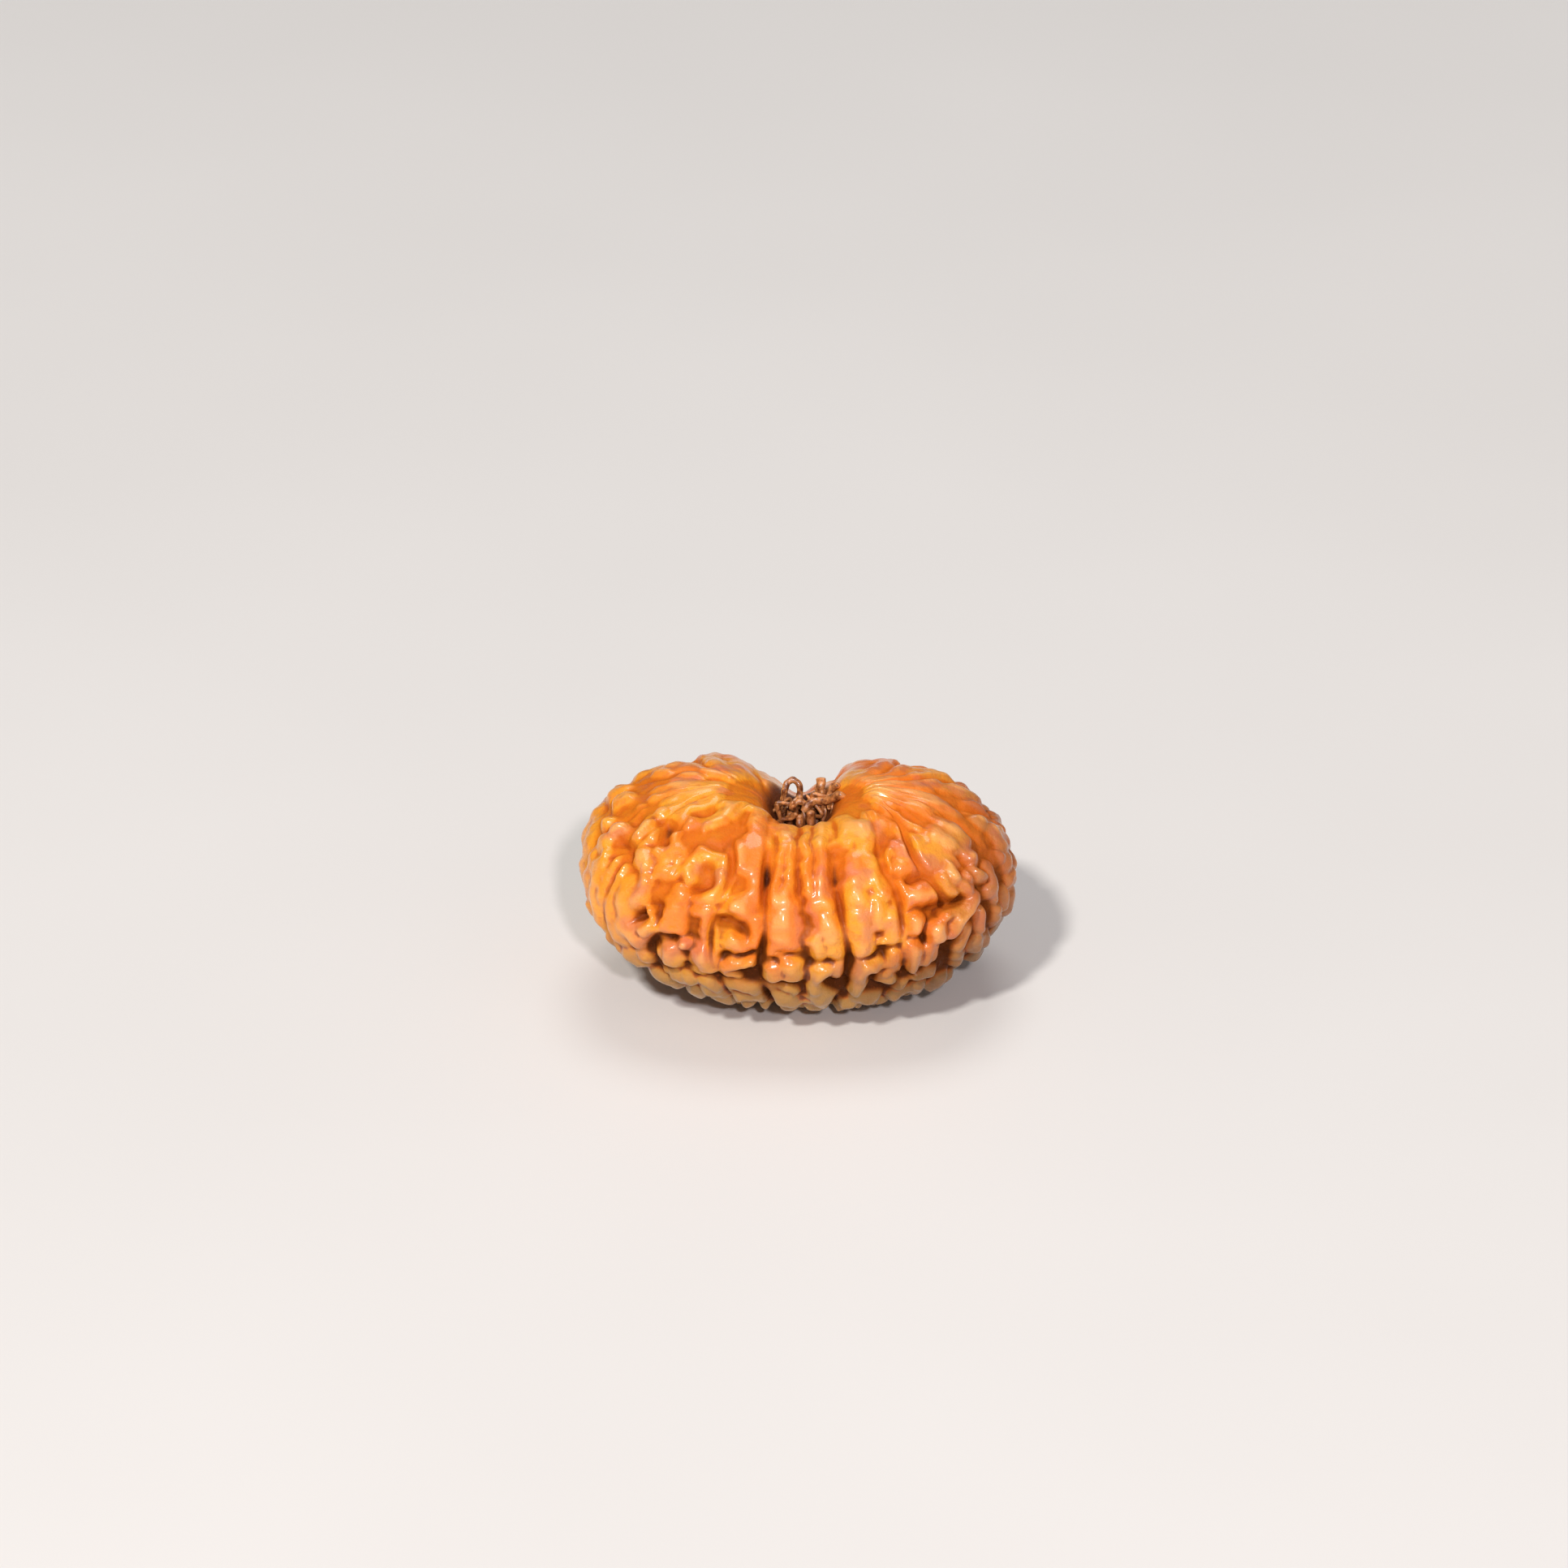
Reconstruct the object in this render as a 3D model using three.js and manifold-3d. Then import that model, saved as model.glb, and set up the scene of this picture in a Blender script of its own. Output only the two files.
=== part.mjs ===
// A rudraksha seed stone with seventeen faces (mukhis), in millimetres, +Z up.
//
// The stone is one solid. Its outer form is a rounded box with a dip across the top and a pit at the
// stalk end. Seventeen clefts run from pole to pole, and each face between two clefts carries knobs and
// ridges. Dried fibres curl out of the pit and are grown into its floor. The lowest knobs are worn flat,
// so the stone rests on a small flat spot at z = 0, with its origin under the middle of its box.
//
// Places on the stone are a longitude and a latitude in degrees: longitude 0 is the middle of the front
// (-Y), it grows towards +X, and latitude 90 is the top.

import * as THREE from 'three';
import { mergeVertices } from 'three/addons/utils/BufferGeometryUtils.js';
import Module from 'manifold-3d';

// Driving dimensions of the outer form
const halfLength = 16.2;
const halfDepth = 11.9;
const halfHeight = 8.25;
const sideRoundness = 2.42;
const topRoundness = 2.23;
const endLift = 1.1;
const sideTilt = 0.022;

// The dip across the top, deeper at the back, and the pit at the stalk end
const dipDepth = 2.0;
const dipSlope = 0.24;
const dipLeast = 0.3;
const dipMost = 3.8;
const dipHalfWidth = 3.3;
const dipX = 0.2;
const pitHalfLength = 2.3;
const pitHalfDepth = 2.9;
const pitDepth = 3.4;
const lowerPitRadius = 1.3;
const lowerPitDepth = 1.2;
const flatSpotRise = 0.4;

// Relief
const lowFloorDepth = 1.05;
const topFloorDepth = 0.4;
const steepest = 1.5;
const blend = 0.24;
const crownRoundness = 0.75;
const cleftHalfWidth = 0.5;
const cleftDepth = 1.15;
const topCleftHalfWidth = 0.36;
const topCleftDepth = 0.38;
const cleftShareOfFace = 0.18;
const cleftSteepness = 2.8;
const cleftUnevenness = 0.25;

// Mesh: rows from pole to pole, and where the columns lie across each face, cleft to cleft
const rows = 55;
const columnShares = [0, 0.12, 0.3, 0.5, 0.7, 0.88];

// The seventeen clefts: longitude, how far the cleft shifts towards the top, and its share of the depth
const clefts = [
  [-142, 0, 1.0],
  [-113, 0, 1.0],
  [-80, 0, 0.9],
  [-58, 0, 0.7],
  [-38, 0, 0.6],
  [-22, 0, 0.8],
  [-9.5, 0, 1.25],
  [12.5, -1.2, 1.2],
  [28, 0, 0.85],
  [41, 0, 1.1],
  [56, 0, 0.9],
  [74, 0, 0.8],
  [95, 0, 1.0],
  [118, 0, 1.0],
  [143, 0, 1.0],
  [168, 0, 1.0],
  [193, 0, 1.0],
];
const cleftWander = 0.7;

// Ridges and knobs of the visible side, as seen in the photograph. Each row has the longitude and
// latitude of the ridge's two ends, its half width, and how far its crest lies under the outer form.
const centreFaceRidges = [
  [-4, 70, -4.5, 56, 0.5, 0.02],
  [-4.5, 56, -6.5, 42, 0.48, 0.02],
  [-6.5, 42, -7.2, 33, 0.45, 0.05],
  [-1.8, 71, -1.8, 54, 0.52, 0],
  [-1.8, 54, -3.2, 42, 0.52, 0.02],
  [-3.2, 42, -2.8, 34, 0.5, 0.05],
  [-7.4, 70, -8, 52, 0.4, 0.22],
  [-4.4, 27, -4, 7, 1.5, 0.02],
  [-7.6, -2, -7.6, 3, 0.5, 0.4],
  [-6.6, -8, -6.6, -15, 0.95, 0.02],
  [-1.4, -5, -1.4, -14, 1.0, 0.06],
  [-2.8, -24, -0.6, -27, 0.75, 0.25],
  [-7.2, -23, -7.2, -27, 0.6, 0.6],
  [-5, -35, -2, -36, 0.8, 0.3],
  [2.1, 71, 2.1, 52, 0.55, 0],
  [2.1, 52, 3.3, 34, 0.52, 0.02],
  [6.7, 70, 6.8, 50, 0.66, 0],
  [6.8, 50, 7.3, 34, 0.6, 0.03],
  [7.2, 26, 7.4, 18, 1.35, 0],
  [8.6, 18, 8.8, 11, 1.15, 0],
  [4.4, 12, 5, 1, 1.05, 0],
  [9.2, 4, 9.2, 2, 1.0, 0.12],
  [6.6, -8, 4.6, -12, 0.95, 0],
  [4.6, -12, 4.2, -25, 0.95, 0],
  [10.6, -5, 10.6, -14, 0.75, 0.35],
  [3.6, -33, 8, -34, 0.8, 0.25],
];
const rightInnerRidges = [
  [15.5, 47, 16.5, 43, 0.5, 0.4],
  [17, 38, 17.4, 28, 0.85, 0],
  [19.6, 47, 20.6, 36, 1.0, 0.08],
  [23, 53, 24.6, 44, 0.85, 0.04],
  [24.6, 44, 25.4, 31, 0.85, 0.04],
  [17, 26, 16.6, 14, 1.15, 0],
  [21.8, 27, 21.8, 17, 1.0, 0.05],
  [16.4, 9, 15.8, -1, 1.2, 0],
  [21.5, -8, 18, -8.5, 0.8, 0.02],
  [18, -8.5, 16.2, -14, 0.8, 0],
  [16.2, -14, 16.6, -26, 0.85, 0],
  [21.8, 7, 21.8, 7, 0.6, 0],
  [25, 17, 25, 7, 1.2, 0.1],
  [24.8, -2, 24.6, -9, 0.8, 0.3],
  [24, -13, 24, -15, 0.75, 0.4],
  [25.2, -21, 25.2, -22, 0.75, 0.15],
  [21.6, -17, 22, -20, 0.5, 0.55],
  [17.5, -34, 23, -34, 0.7, 0.3],
  [20.5, 61.5, 21.5, 58, 1.15, -0.08],
  [27.3, 64, 27.3, 64, 0.85, -0.05],
  [14, 66, 15, 61, 1.2, 0.02],
  [30, 61, 32, 55, 1.1, 0.25],
];
const rightOuterRidges = [
  [38.4, 54.5, 38.4, 53, 0.6, -0.02],
  [34.4, 50, 34.4, 49.5, 0.56, -0.02],
  [31, 46.7, 31, 46.7, 0.6, -0.02],
  [28.9, 44.5, 28.9, 44.5, 0.5, 0],
  [28.8, 40.3, 28.8, 40.3, 0.6, -0.02],
  [30.6, 31.5, 30.6, 31.5, 0.6, -0.02],
  [38, 47, 35.4, 39, 1.15, 0.08],
  [42.5, 48, 41.5, 38, 0.95, 0.08],
  [29.6, 25.5, 33, 26.2, 0.9, 0.02],
  [33, 26.2, 40, 25.2, 0.85, 0.02],
  [32, 30, 40, 30, 0.4, 0.15],
  [40, 25, 44, 22.5, 0.6, 0.1],
  [31, 13.5, 31, 10.5, 0.95, -0.08],
  [30.2, -2, 29.8, -13, 1, -0.02],
  [35, -3, 34.8, -12, 0.7, 0.25],
  [37.6, -4, 37.6, -12, 0.55, 0.45],
  [34, -22, 38, -22, 0.8, 0.35],
  [29.5, -26, 29.5, -28, 0.7, 0.35],
  [32, -34, 37, -34, 0.8, 0.3],
  [48.2, 32.5, 48.8, 28, 0.7, -0.02],
  [45.2, 22.5, 45.2, 21.5, 0.7, -0.02],
  [43.8, 31, 44.4, 26, 0.75, 0.02],
  [50.5, 23, 51, 20, 0.75, 0.15],
  [47.4, 0, 45.6, -9, 0.75, 0.3],
  [46, -16, 47.5, -20, 0.85, 0.3],
  [53.5, 5, 53.2, -4, 0.7, 0.15],
  [52.5, -12, 54, -15, 0.9, 0.1],
  [50, 46, 47.4, 38, 1.05, 0.12],
  [53, 37, 53, 34, 0.75, 0.2],
  [40.5, 66, 43.5, 60, 0.5, 0],
  [43.5, 60, 49.5, 51, 0.5, 0],
  [48, 68, 54, 63, 0.55, 0],
  [61, 70, 62.5, 55, 0.8, 0],
  [69, 70, 69.5, 55, 0.75, 0],
  [66.5, 48, 65, 39, 1.15, 0],
  [60, 37, 61, 32, 0.95, 0.05],
  [54.5, 26, 59, 22.5, 0.7, -0.02],
  [65.5, 23, 62.5, 14, 0.85, 0.15],
  [60, 14, 62, 6, 0.7, 0.25],
  [75.8, 22, 75.8, 22, 0.8, 0],
  [70.8, 2, 70.6, -3, 0.8, 0.2],
  [64, -2, 64.6, -9, 0.8, 0.25],
  [58, -16, 60, -19, 0.9, 0.2],
  [78, 70, 80.5, 54, 0.8, 0],
  [87, 70, 88, 54, 0.8, 0],
  [82, 55, 83, 48, 1.2, 0],
  [86.5, 38, 86.5, 36, 0.8, -0.02],
  [97, 38, 96, 34, 1.15, 0],
  [86, 29, 84, 22, 1.0, 0],
  [99, 24, 99, 20, 1.1, 0],
  [108, 43, 108, 37, 1.15, 0],
  [101, 70, 104, 56, 0.9, 0],
  [112, 70, 112, 58, 0.9, 0],
  [112, 54, 113, 52, 0.9, -0.05],
  [121, 53, 127, 47, 1.5, -0.1],
  [111, 51, 108, 48, 0.8, 0.1],
];
const leftInnerRidges = [
  [-13.6, 71, -14.2, 58, 1.4, 0.05],
  [-14.2, 58, -13.6, 45, 1.5, 0.05],
  [-19, 51, -19, 44, 0.95, 0.05],
  [-14.5, 40, -15, 31, 1.3, 0.1],
  [-16.3, 25, -16.3, 22, 1.25, -0.02],
  [-17.2, 7.5, -16.4, 4, 1.25, 0],
  [-12, 19, -11.8, 6, 0.8, 0.25],
  [-19, -9.5, -12, -5, 0.75, 0.08],
  [-19.2, -15, -16, -16, 0.65, 0.4],
  [-17.5, -25, -13, -27, 1, 0.3],
  [-19, -36, -13, -37, 0.8, 0.3],
  [-20, 71, -26, 66, 1.1, -0.02],
  [-26, 66, -31, 66, 1.0, 0],
  [-36.5, 54, -27.5, 60.8, 0.62, -0.02],
  [-37, 58.5, -31, 62.5, 0.5, 0.1],
  [-36, 44, -25, 45, 1.0, 0.08],
  [-34.5, 41, -31, 36, 0.9, 0.1],
  [-23, 38, -22.8, 35, 0.7, -0.02],
  [-26.9, 24, -22.6, 31.2, 0.75, -0.08],
  [-27.2, 18.4, -23.6, 20.6, 0.7, -0.02],
  [-24.8, 15, -24.4, 6, 1.1, 0.05],
  [-24.4, -1, -25.2, -12, 1.25, 0],
  [-26, -24, -22, -31, 0.7, 0.15],
  [-31, -24, -31, -26, 0.85, 0.15],
  [-28, -35, -23, -37, 0.8, 0.25],
  [-34.6, -7, -34.2, -13, 1.15, -0.02],
  [-30, -1, -30, -1, 0.5, 0.02],
  [-34, 16, -33, 6, 1.1, 0.1],
  [-33.5, 24, -33, 18, 0.95, 0.05],
  [-38.5, 37.8, -32.6, 32.6, 0.65, -0.08],
  [-35.8, -25, -34, -27, 0.9, 0.15],
];
const leftOuterRidges = [
  [-43, 31, -38.6, 31.8, 0.65, -0.02],
  [-48.3, 38, -48.3, 37.3, 0.65, 0],
  [-46.5, 47, -46.5, 46, 0.5, 0],
  [-43, 55, -42.5, 53, 0.6, 0],
  [-45, 43, -44, 36, 1.0, 0.12],
  [-60, 44, -59, 42.5, 1.15, -0.16],
  [-65, 51.8, -61, 50.6, 0.65, -0.02],
  [-81, 45.5, -80.5, 45, 0.65, 0],
  [-95.5, 40.5, -95, 39, 1.1, -0.05],
  [-71.8, 36, -71.2, 35.4, 0.9, -0.12],
  [-53.3, 34.5, -48.6, 30.7, 0.8, -0.08],
  [-82.5, 32, -82.5, 31, 0.8, 0],
  [-67.5, 26, -67.5, 25, 0.7, 0.02],
  [-58, 27.4, -57.8, 26.6, 0.7, 0.02],
  [-66, 17, -65, 0, 1.5, 0],
  [-65, 0, -62, -11, 1.4, 0.05],
  [-58, 20, -57.5, 4, 1.45, 0.05],
  [-57.5, 4, -54, -13, 1.4, 0.05],
  [-50, 19, -50, 8, 1.15, 0.05],
  [-50, 8, -50, -6, 1.15, 0.05],
  [-45.6, 25, -45, 13, 0.9, 0],
  [-40.4, 11.5, -40.4, 11.5, 0.5, 0.15],
  [-41.6, 0, -35.6, 10.5, 0.75, -0.12],
  [-46.4, -5, -45, -8, 1.2, 0.05],
  [-45, -19, -45, -21, 0.85, 0.15],
  [-51, -24, -50.5, -27, 1.2, 0.02],
  [-59, -21, -58, -25, 1.15, 0.02],
  [-72, 10, -71, -4, 1.2, 0.1],
  [-97, 69, -96, 52, 0.85, 0],
  [-86, 69, -86, 52, 0.8, 0.05],
  [-73, 69, -73.5, 55, 0.8, 0],
  [-63, 67, -64, 56, 0.8, 0.05],
  [-50, 67, -52.5, 54, 0.9, 0.05],
  [-119, 62, -118, 59, 0.95, -0.06],
  [-120, 51, -119, 49, 0.95, -0.02],
  [-132, 54, -130, 50, 1.3, 0],
  [-110, 36, -109, 32, 1.15, 0],
];
// Knobs that cross a cleft and close it where they lie
const bridgingRidges = [
  [37.6, 6.5, 37.8, 3.5, 0.95, -0.1],
  [41.6, 2, 45, 7.5, 0.75, 0.05],
  [45, 7.5, 48.5, 12, 0.75, 0],
  [48.5, 12, 52, 14, 0.75, 0.02],
  [40.6, 12, 43, 13.6, 0.55, -0.02],
  [43, 13.6, 46.5, 13.2, 0.5, 0],
  [54.6, 46, 57, 41.5, 1.3, -0.05],
];

// Pits and creases of the visible side: the two ends, the half width and the depth
const visiblePits = [
  [35, 33.5, 39, 33, 0.6, 0.8],
  [38.5, 15.2, 41.5, 18, 0.5, 0.8],
  [41.5, 18, 45.5, 16.5, 0.65, 1.0],
  [36.5, 19.5, 39.5, 19, 0.5, 0.8],
  [40.6, -5, 40.2, -13, 0.5, 0.85],
  [34.4, 8, 34.2, 3, 0.45, 0.5],
  [59.4, 6, 59.4, -2, 0.55, 0.8],
  [70.5, 31, 70, 28, 1.0, 0.7],
  [88, 45, 90, 43.5, 0.8, 0.6],
  [50, 58, 56, 56, 0.6, 0.4],
  [21.2, 12, 21.2, 12, 0.35, 0.6],
  [22.2, 2, 26, 0.6, 0.4, 0.5],
  [19.8, -15, 20, -18, 0.55, 0.7],
  [12.2, 52, 12.4, 40, 0.4, 0.5],
  [14, 47, 13.4, 41, 0.55, 0.5],
  [32.5, 53, 29.5, 49.5, 0.4, 0.45],
  [29.5, 49.5, 25.5, 48.5, 0.4, 0.45],
  [27.4, 42, 26.6, 34, 0.35, 0.4],
  [-17.4, 69, -17.4, 64.5, 0.42, 0.5],
  [-17.4, 64.5, -19.6, 56, 0.45, 0.65],
  [-19.6, 56, -24.5, 50, 0.45, 0.65],
  [-24.5, 50, -36, 46.8, 0.4, 0.5],
  [-30, 65, -38, 61.5, 0.35, 0.35],
  [-38, 61.5, -45, 57, 0.35, 0.3],
  [-29.5, 38.5, -28.4, 31.5, 0.6, 0.75],
  [-18.6, 36.5, -17.2, 33.5, 0.6, 0.6],
  [-19.5, 16, -14.5, 14.3, 0.6, 1.0],
  [-19.6, 11, -19.6, 8.5, 0.45, 0.4],
  [-18.8, -3, -13, -0.4, 0.35, 0.55],
  [-15, -11, -12.4, -10.4, 0.35, 0.5],
  [-26.9, 12.5, -26.5, 3, 0.5, 0.75],
  [-33, 1, -38, -6, 0.5, 0.8],
  [-38, -6, -41, -11.5, 0.45, 0.7],
  [-27.6, -14, -27.6, -14, 0.5, 0.7],
  [-36, -21.5, -36, -21.5, 0.4, 0.5],
  [-43.4, 9.5, -43.2, 7, 0.5, 0.7],
  [-38, 14, -37.4, 12, 0.65, 0.8],
  [-50.5, 20.5, -50.5, 19.5, 0.5, 0.35],
  [-62.3, 26, -61.6, 23, 0.42, 0.5],
  [-67, 34.5, -61.5, 33.5, 0.55, 0.7],
  [-61.5, 33.5, -57, 32.4, 0.5, 0.7],
  [-60.5, 48.5, -56, 48.5, 0.32, 0.5],
  [-56, 48.5, -52.4, 46.6, 0.38, 0.7],
  [-52.4, 46.6, -49.5, 43, 0.38, 0.6],
  [-73, 44.2, -72, 43, 0.45, 0.55],
  [-95.2, 39.4, -95, 39, 0.28, 0.5],
  [-6, 60, -7.6, 48, 0.3, 0.4],
  [-7.6, 48, -8.4, 39, 0.35, 0.45],
  [-3.2, 58, -4.8, 47, 0.26, 0.3],
  [-4.8, 47, -5.6, 39, 0.26, 0.3],
  [0.3, 69, 0.2, 54, 0.3, 0.4],
  [0.2, 54, -0.7, 41, 0.34, 0.45],
  [-0.7, 41, -0.7, 32, 0.34, 0.45],
  [4.3, 69, 4.4, 54, 0.28, 0.3],
  [4.4, 54, 5.3, 42, 0.28, 0.3],
  [1.4, 30, 2.6, 18, 0.36, 0.5],
  [2.6, 18, 2, 8, 0.3, 0.35],
  [-4.2, 2.4, -1.8, -1, 0.5, 0.65],
  [2.4, 4, 3, -5, 0.34, 0.6],
  [3, -5, 1.8, -20, 0.36, 0.6],
];

// Small bumps on top of the ridges: the two ends, the half width and the rise
const visibleBumps = [
  [-7.2, 29.3, -7.2, 29.3, 0.45, 0.22],
  [-2.6, 30.8, -2.6, 30.8, 0.42, 0.2],
  [3.2, 29.5, 3.2, 29.5, 0.42, 0.2],
  [7, 30, 7, 30, 0.42, 0.2],
  [-4.4, 19.5, -4.4, 19.5, 0.5, 0.14],
  [8.8, 13.2, 8.8, 13.2, 0.45, 0.12],
  [4, 9, 4, 8, 0.5, 0.1],
  [-16.3, 23, -16.3, 23, 0.55, 0.12],
  [-18, 8.5, -15.8, 7, 0.5, 0.12],
  [-23, 35.6, -23, 35.6, 0.45, 0.12],
  [-19, 49, -19, 49, 0.42, 0.12],
  [-39.4, 12, -39.4, 12, 0.34, 0.25],
  [-30, -1, -30, -1, 0.34, 0.22],
  [-24.6, -2, -24.6, -4, 0.5, 0.1],
  [-46.5, 46.5, -46.5, 46.5, 0.4, 0.14],
  [-48.4, 30.6, -48.4, 30.6, 0.42, 0.16],
  [-48.3, 37.5, -48.3, 37.5, 0.42, 0.12],
  [-71.4, 35.6, -71.4, 35.6, 0.5, 0.15],
  [-64, 51.4, -62, 50.8, 0.42, 0.14],
  [-59.6, 44, -59.6, 44, 0.5, 0.08],
  [-82.4, 31.5, -82.4, 31.5, 0.5, 0.15],
  [-120, 51, -120, 51, 0.5, 0.12],
  [-118.6, 60.5, -118.6, 60.5, 0.5, 0.12],
  [20.8, 60, 20.8, 60, 0.5, 0.14],
  [27.3, 64, 27.3, 64, 0.42, 0.12],
  [16.3, 54, 16.3, 54, 0.42, 0.28],
  [12.4, 36.5, 12.4, 36.5, 0.4, 0.3],
  [16.6, 31, 17, 27.5, 0.5, 0.08],
  [15.6, 48.4, 15.6, 48.4, 0.3, 0.2],
  [15, 45, 15, 45, 0.3, 0.22],
  [21.8, 7.2, 21.8, 7.2, 0.4, 0.12],
  [29.8, 15, 29.8, 15, 0.45, 0.1],
  [36.8, 7, 36.8, 7, 0.55, 0.12],
  [30.5, -4, 30.5, -4, 0.4, 0.1],
  [45.4, 22.2, 45.4, 22.2, 0.4, 0.14],
  [47.6, 31, 48.4, 28.4, 0.42, 0.12],
  [53.8, 46.4, 53.8, 46.4, 0.6, 0.08],
  [54.6, 41, 54.6, 41, 0.5, 0.1],
  [86.6, 37.6, 86.6, 37.6, 0.5, 0.14],
  [75.8, 22, 75.8, 22, 0.45, 0.14],
];

// The visible ridges fill these bounds, and ridges grown by rule fill the rest
const visibleWest = -68;
const visibleEast = 77;
const visibleBottom = -32;
const shoulderWest = -128;
const shoulderEast = 124;
const shoulderBottom = 29;

// Ridges grown by rule
const ribStart = 49;
const ribEnd = 71;
const knobStart = -54;
const lowerRibStart = -57;
const lowerRibEnd = -82;
const randomSeed = 1717;

// The fibres that curl out of the pit: points in millimetres from the stone's middle, and half widths
const fibreSides = 5;
const fibreSteps = 10;
const fibres = [
  { half: 0.24, points: [[-0.9, 1.4, 2.4], [-1.05, 2.4, 5.0], [-0.9, 3.0, 6.3], [-0.35, 3.2, 6.7], [0.15, 3.0, 6.2], [0.0, 2.4, 4.6]] },
  { half: 0.34, points: [[1.3, 1.4, 2.4], [1.4, 2.6, 5.0], [1.7, 3.2, 6.3], [1.7, 3.4, 6.8]] },
  { half: 0.3, points: [[0.2, 0.4, 2.4], [0.4, 1.0, 5.0], [1.2, 1.5, 5.9], [2.0, 1.3, 5.9], [2.7, 0.8, 6.5], [3.1, 0.4, 6.9], [3.5, 0.5, 6.6]] },
  { half: 0.3, points: [[0.1, -0.6, 2.4], [0.2, -0.2, 4.2], [0.1, 0.2, 5.4]] },
  { half: 0.3, points: [[0.9, -0.4, 2.4], [1.0, 0.0, 4.4], [0.9, 0.3, 5.7]] },
  { half: 0.26, points: [[1.6, 0.6, 2.4], [2.0, 1.8, 5.0], [2.5, 2.3, 6.4], [3.0, 2.0, 6.9]] },
  { half: 0.26, points: [[-0.5, 0.8, 2.4], [-0.6, 1.4, 4.6], [-0.1, 1.7, 5.6], [0.6, 1.6, 5.4], [1.1, 1.0, 4.2]] },
];

const degree = Math.PI / 180;

function clamp(value, low, high) {
  return Math.min(Math.max(value, low), high);
}

function smoothStep(low, high, value) {
  const t = clamp((value - low) / (high - low), 0, 1);
  return t * t * (3 - 2 * t);
}

function smoothMax(a, b, width) {
  const near = Math.max(width - Math.abs(a - b), 0);
  return Math.max(a, b) + near * near / (4 * width);
}

// How much wider the faces at the front and back grow towards the top
function faceSpread(latitude) {
  if (latitude < 0) return 1;
  const t = clamp((0.8 - Math.cos(latitude * degree)) / 0.5, 0, 1.3);
  return 1 + 1.85 * t * t;
}

function direction(longitude, latitude) {
  const spread = faceSpread(latitude);
  const side = Math.sin(longitude * degree) * spread;
  const ahead = Math.cos(longitude * degree);
  const flat = Math.cos(latitude * degree) / Math.hypot(side, ahead);
  return new THREE.Vector3(side * flat, -ahead * flat, Math.sin(latitude * degree));
}

function latitudeOf(d) {
  return Math.asin(clamp(d.z, -1, 1)) / degree;
}

function longitudeOf(d) {
  return Math.atan2(d.x, -d.y * faceSpread(latitudeOf(d))) / degree;
}

// The rounded box without its dip and pit, in the direction d from its middle
function roundedBox(d) {
  const sum = Math.abs(d.x) ** sideRoundness + Math.abs(d.y) ** sideRoundness + Math.abs(d.z) ** topRoundness;
  const reach = sum ** (-1 / sideRoundness);
  const x = halfLength * d.x * reach;
  const y = halfDepth * d.y * reach;
  const z = halfHeight * d.z * reach + endLift * (x / halfLength) ** 2 - sideTilt * x;
  return new THREE.Vector3(x, y, z);
}

function outerForm(d) {
  const p = roundedBox(d);
  const acrossDip = (p.x - dipX) / dipHalfWidth;
  const dip = clamp(dipDepth + dipSlope * p.y, dipLeast, dipMost);
  const pit = Math.hypot((p.x - dipX) / pitHalfLength, p.y / pitHalfDepth);
  const lowerPit = Math.hypot(p.x, p.y) / lowerPitRadius;
  p.z -= dip * Math.exp(-acrossDip * acrossDip) * smoothStep(0, 0.9, d.z);
  if (d.z > 0) p.z -= pitDepth * Math.exp(-(pit ** 4));
  if (d.z < 0) p.z += lowerPitDepth * Math.exp(-(lowerPit ** 2));
  return p;
}

const lowest = -halfHeight + flatSpotRise;

function outwards(d) {
  const step = 0.002;
  const side = new THREE.Vector3(0.3, 0.5, 0.81).cross(d).normalize();
  const up = new THREE.Vector3().crossVectors(d, side);
  const at = (axis, sign) => roundedBox(d.clone().addScaledVector(axis, sign * step).normalize());
  const along = at(side, 1).sub(at(side, -1));
  const across = at(up, 1).sub(at(up, -1));
  return along.cross(across).normalize();
}

// A seeded series of numbers between 0 and 1
function randomSeries(seed) {
  let state = seed;
  return () => {
    state = (state * 16807) % 2147483647;
    return state / 2147483647;
  };
}

function isVisibleArea(longitude, latitude) {
  const front = latitude > visibleBottom && longitude > visibleWest && longitude < visibleEast;
  const shoulder = latitude > shoulderBottom && longitude > shoulderWest && longitude < shoulderEast;
  return front || shoulder;
}

function widthPerDegree(longitude, latitude) {
  return outerForm(direction(longitude + 1, latitude)).distanceTo(outerForm(direction(longitude - 1, latitude))) / 2;
}

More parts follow.
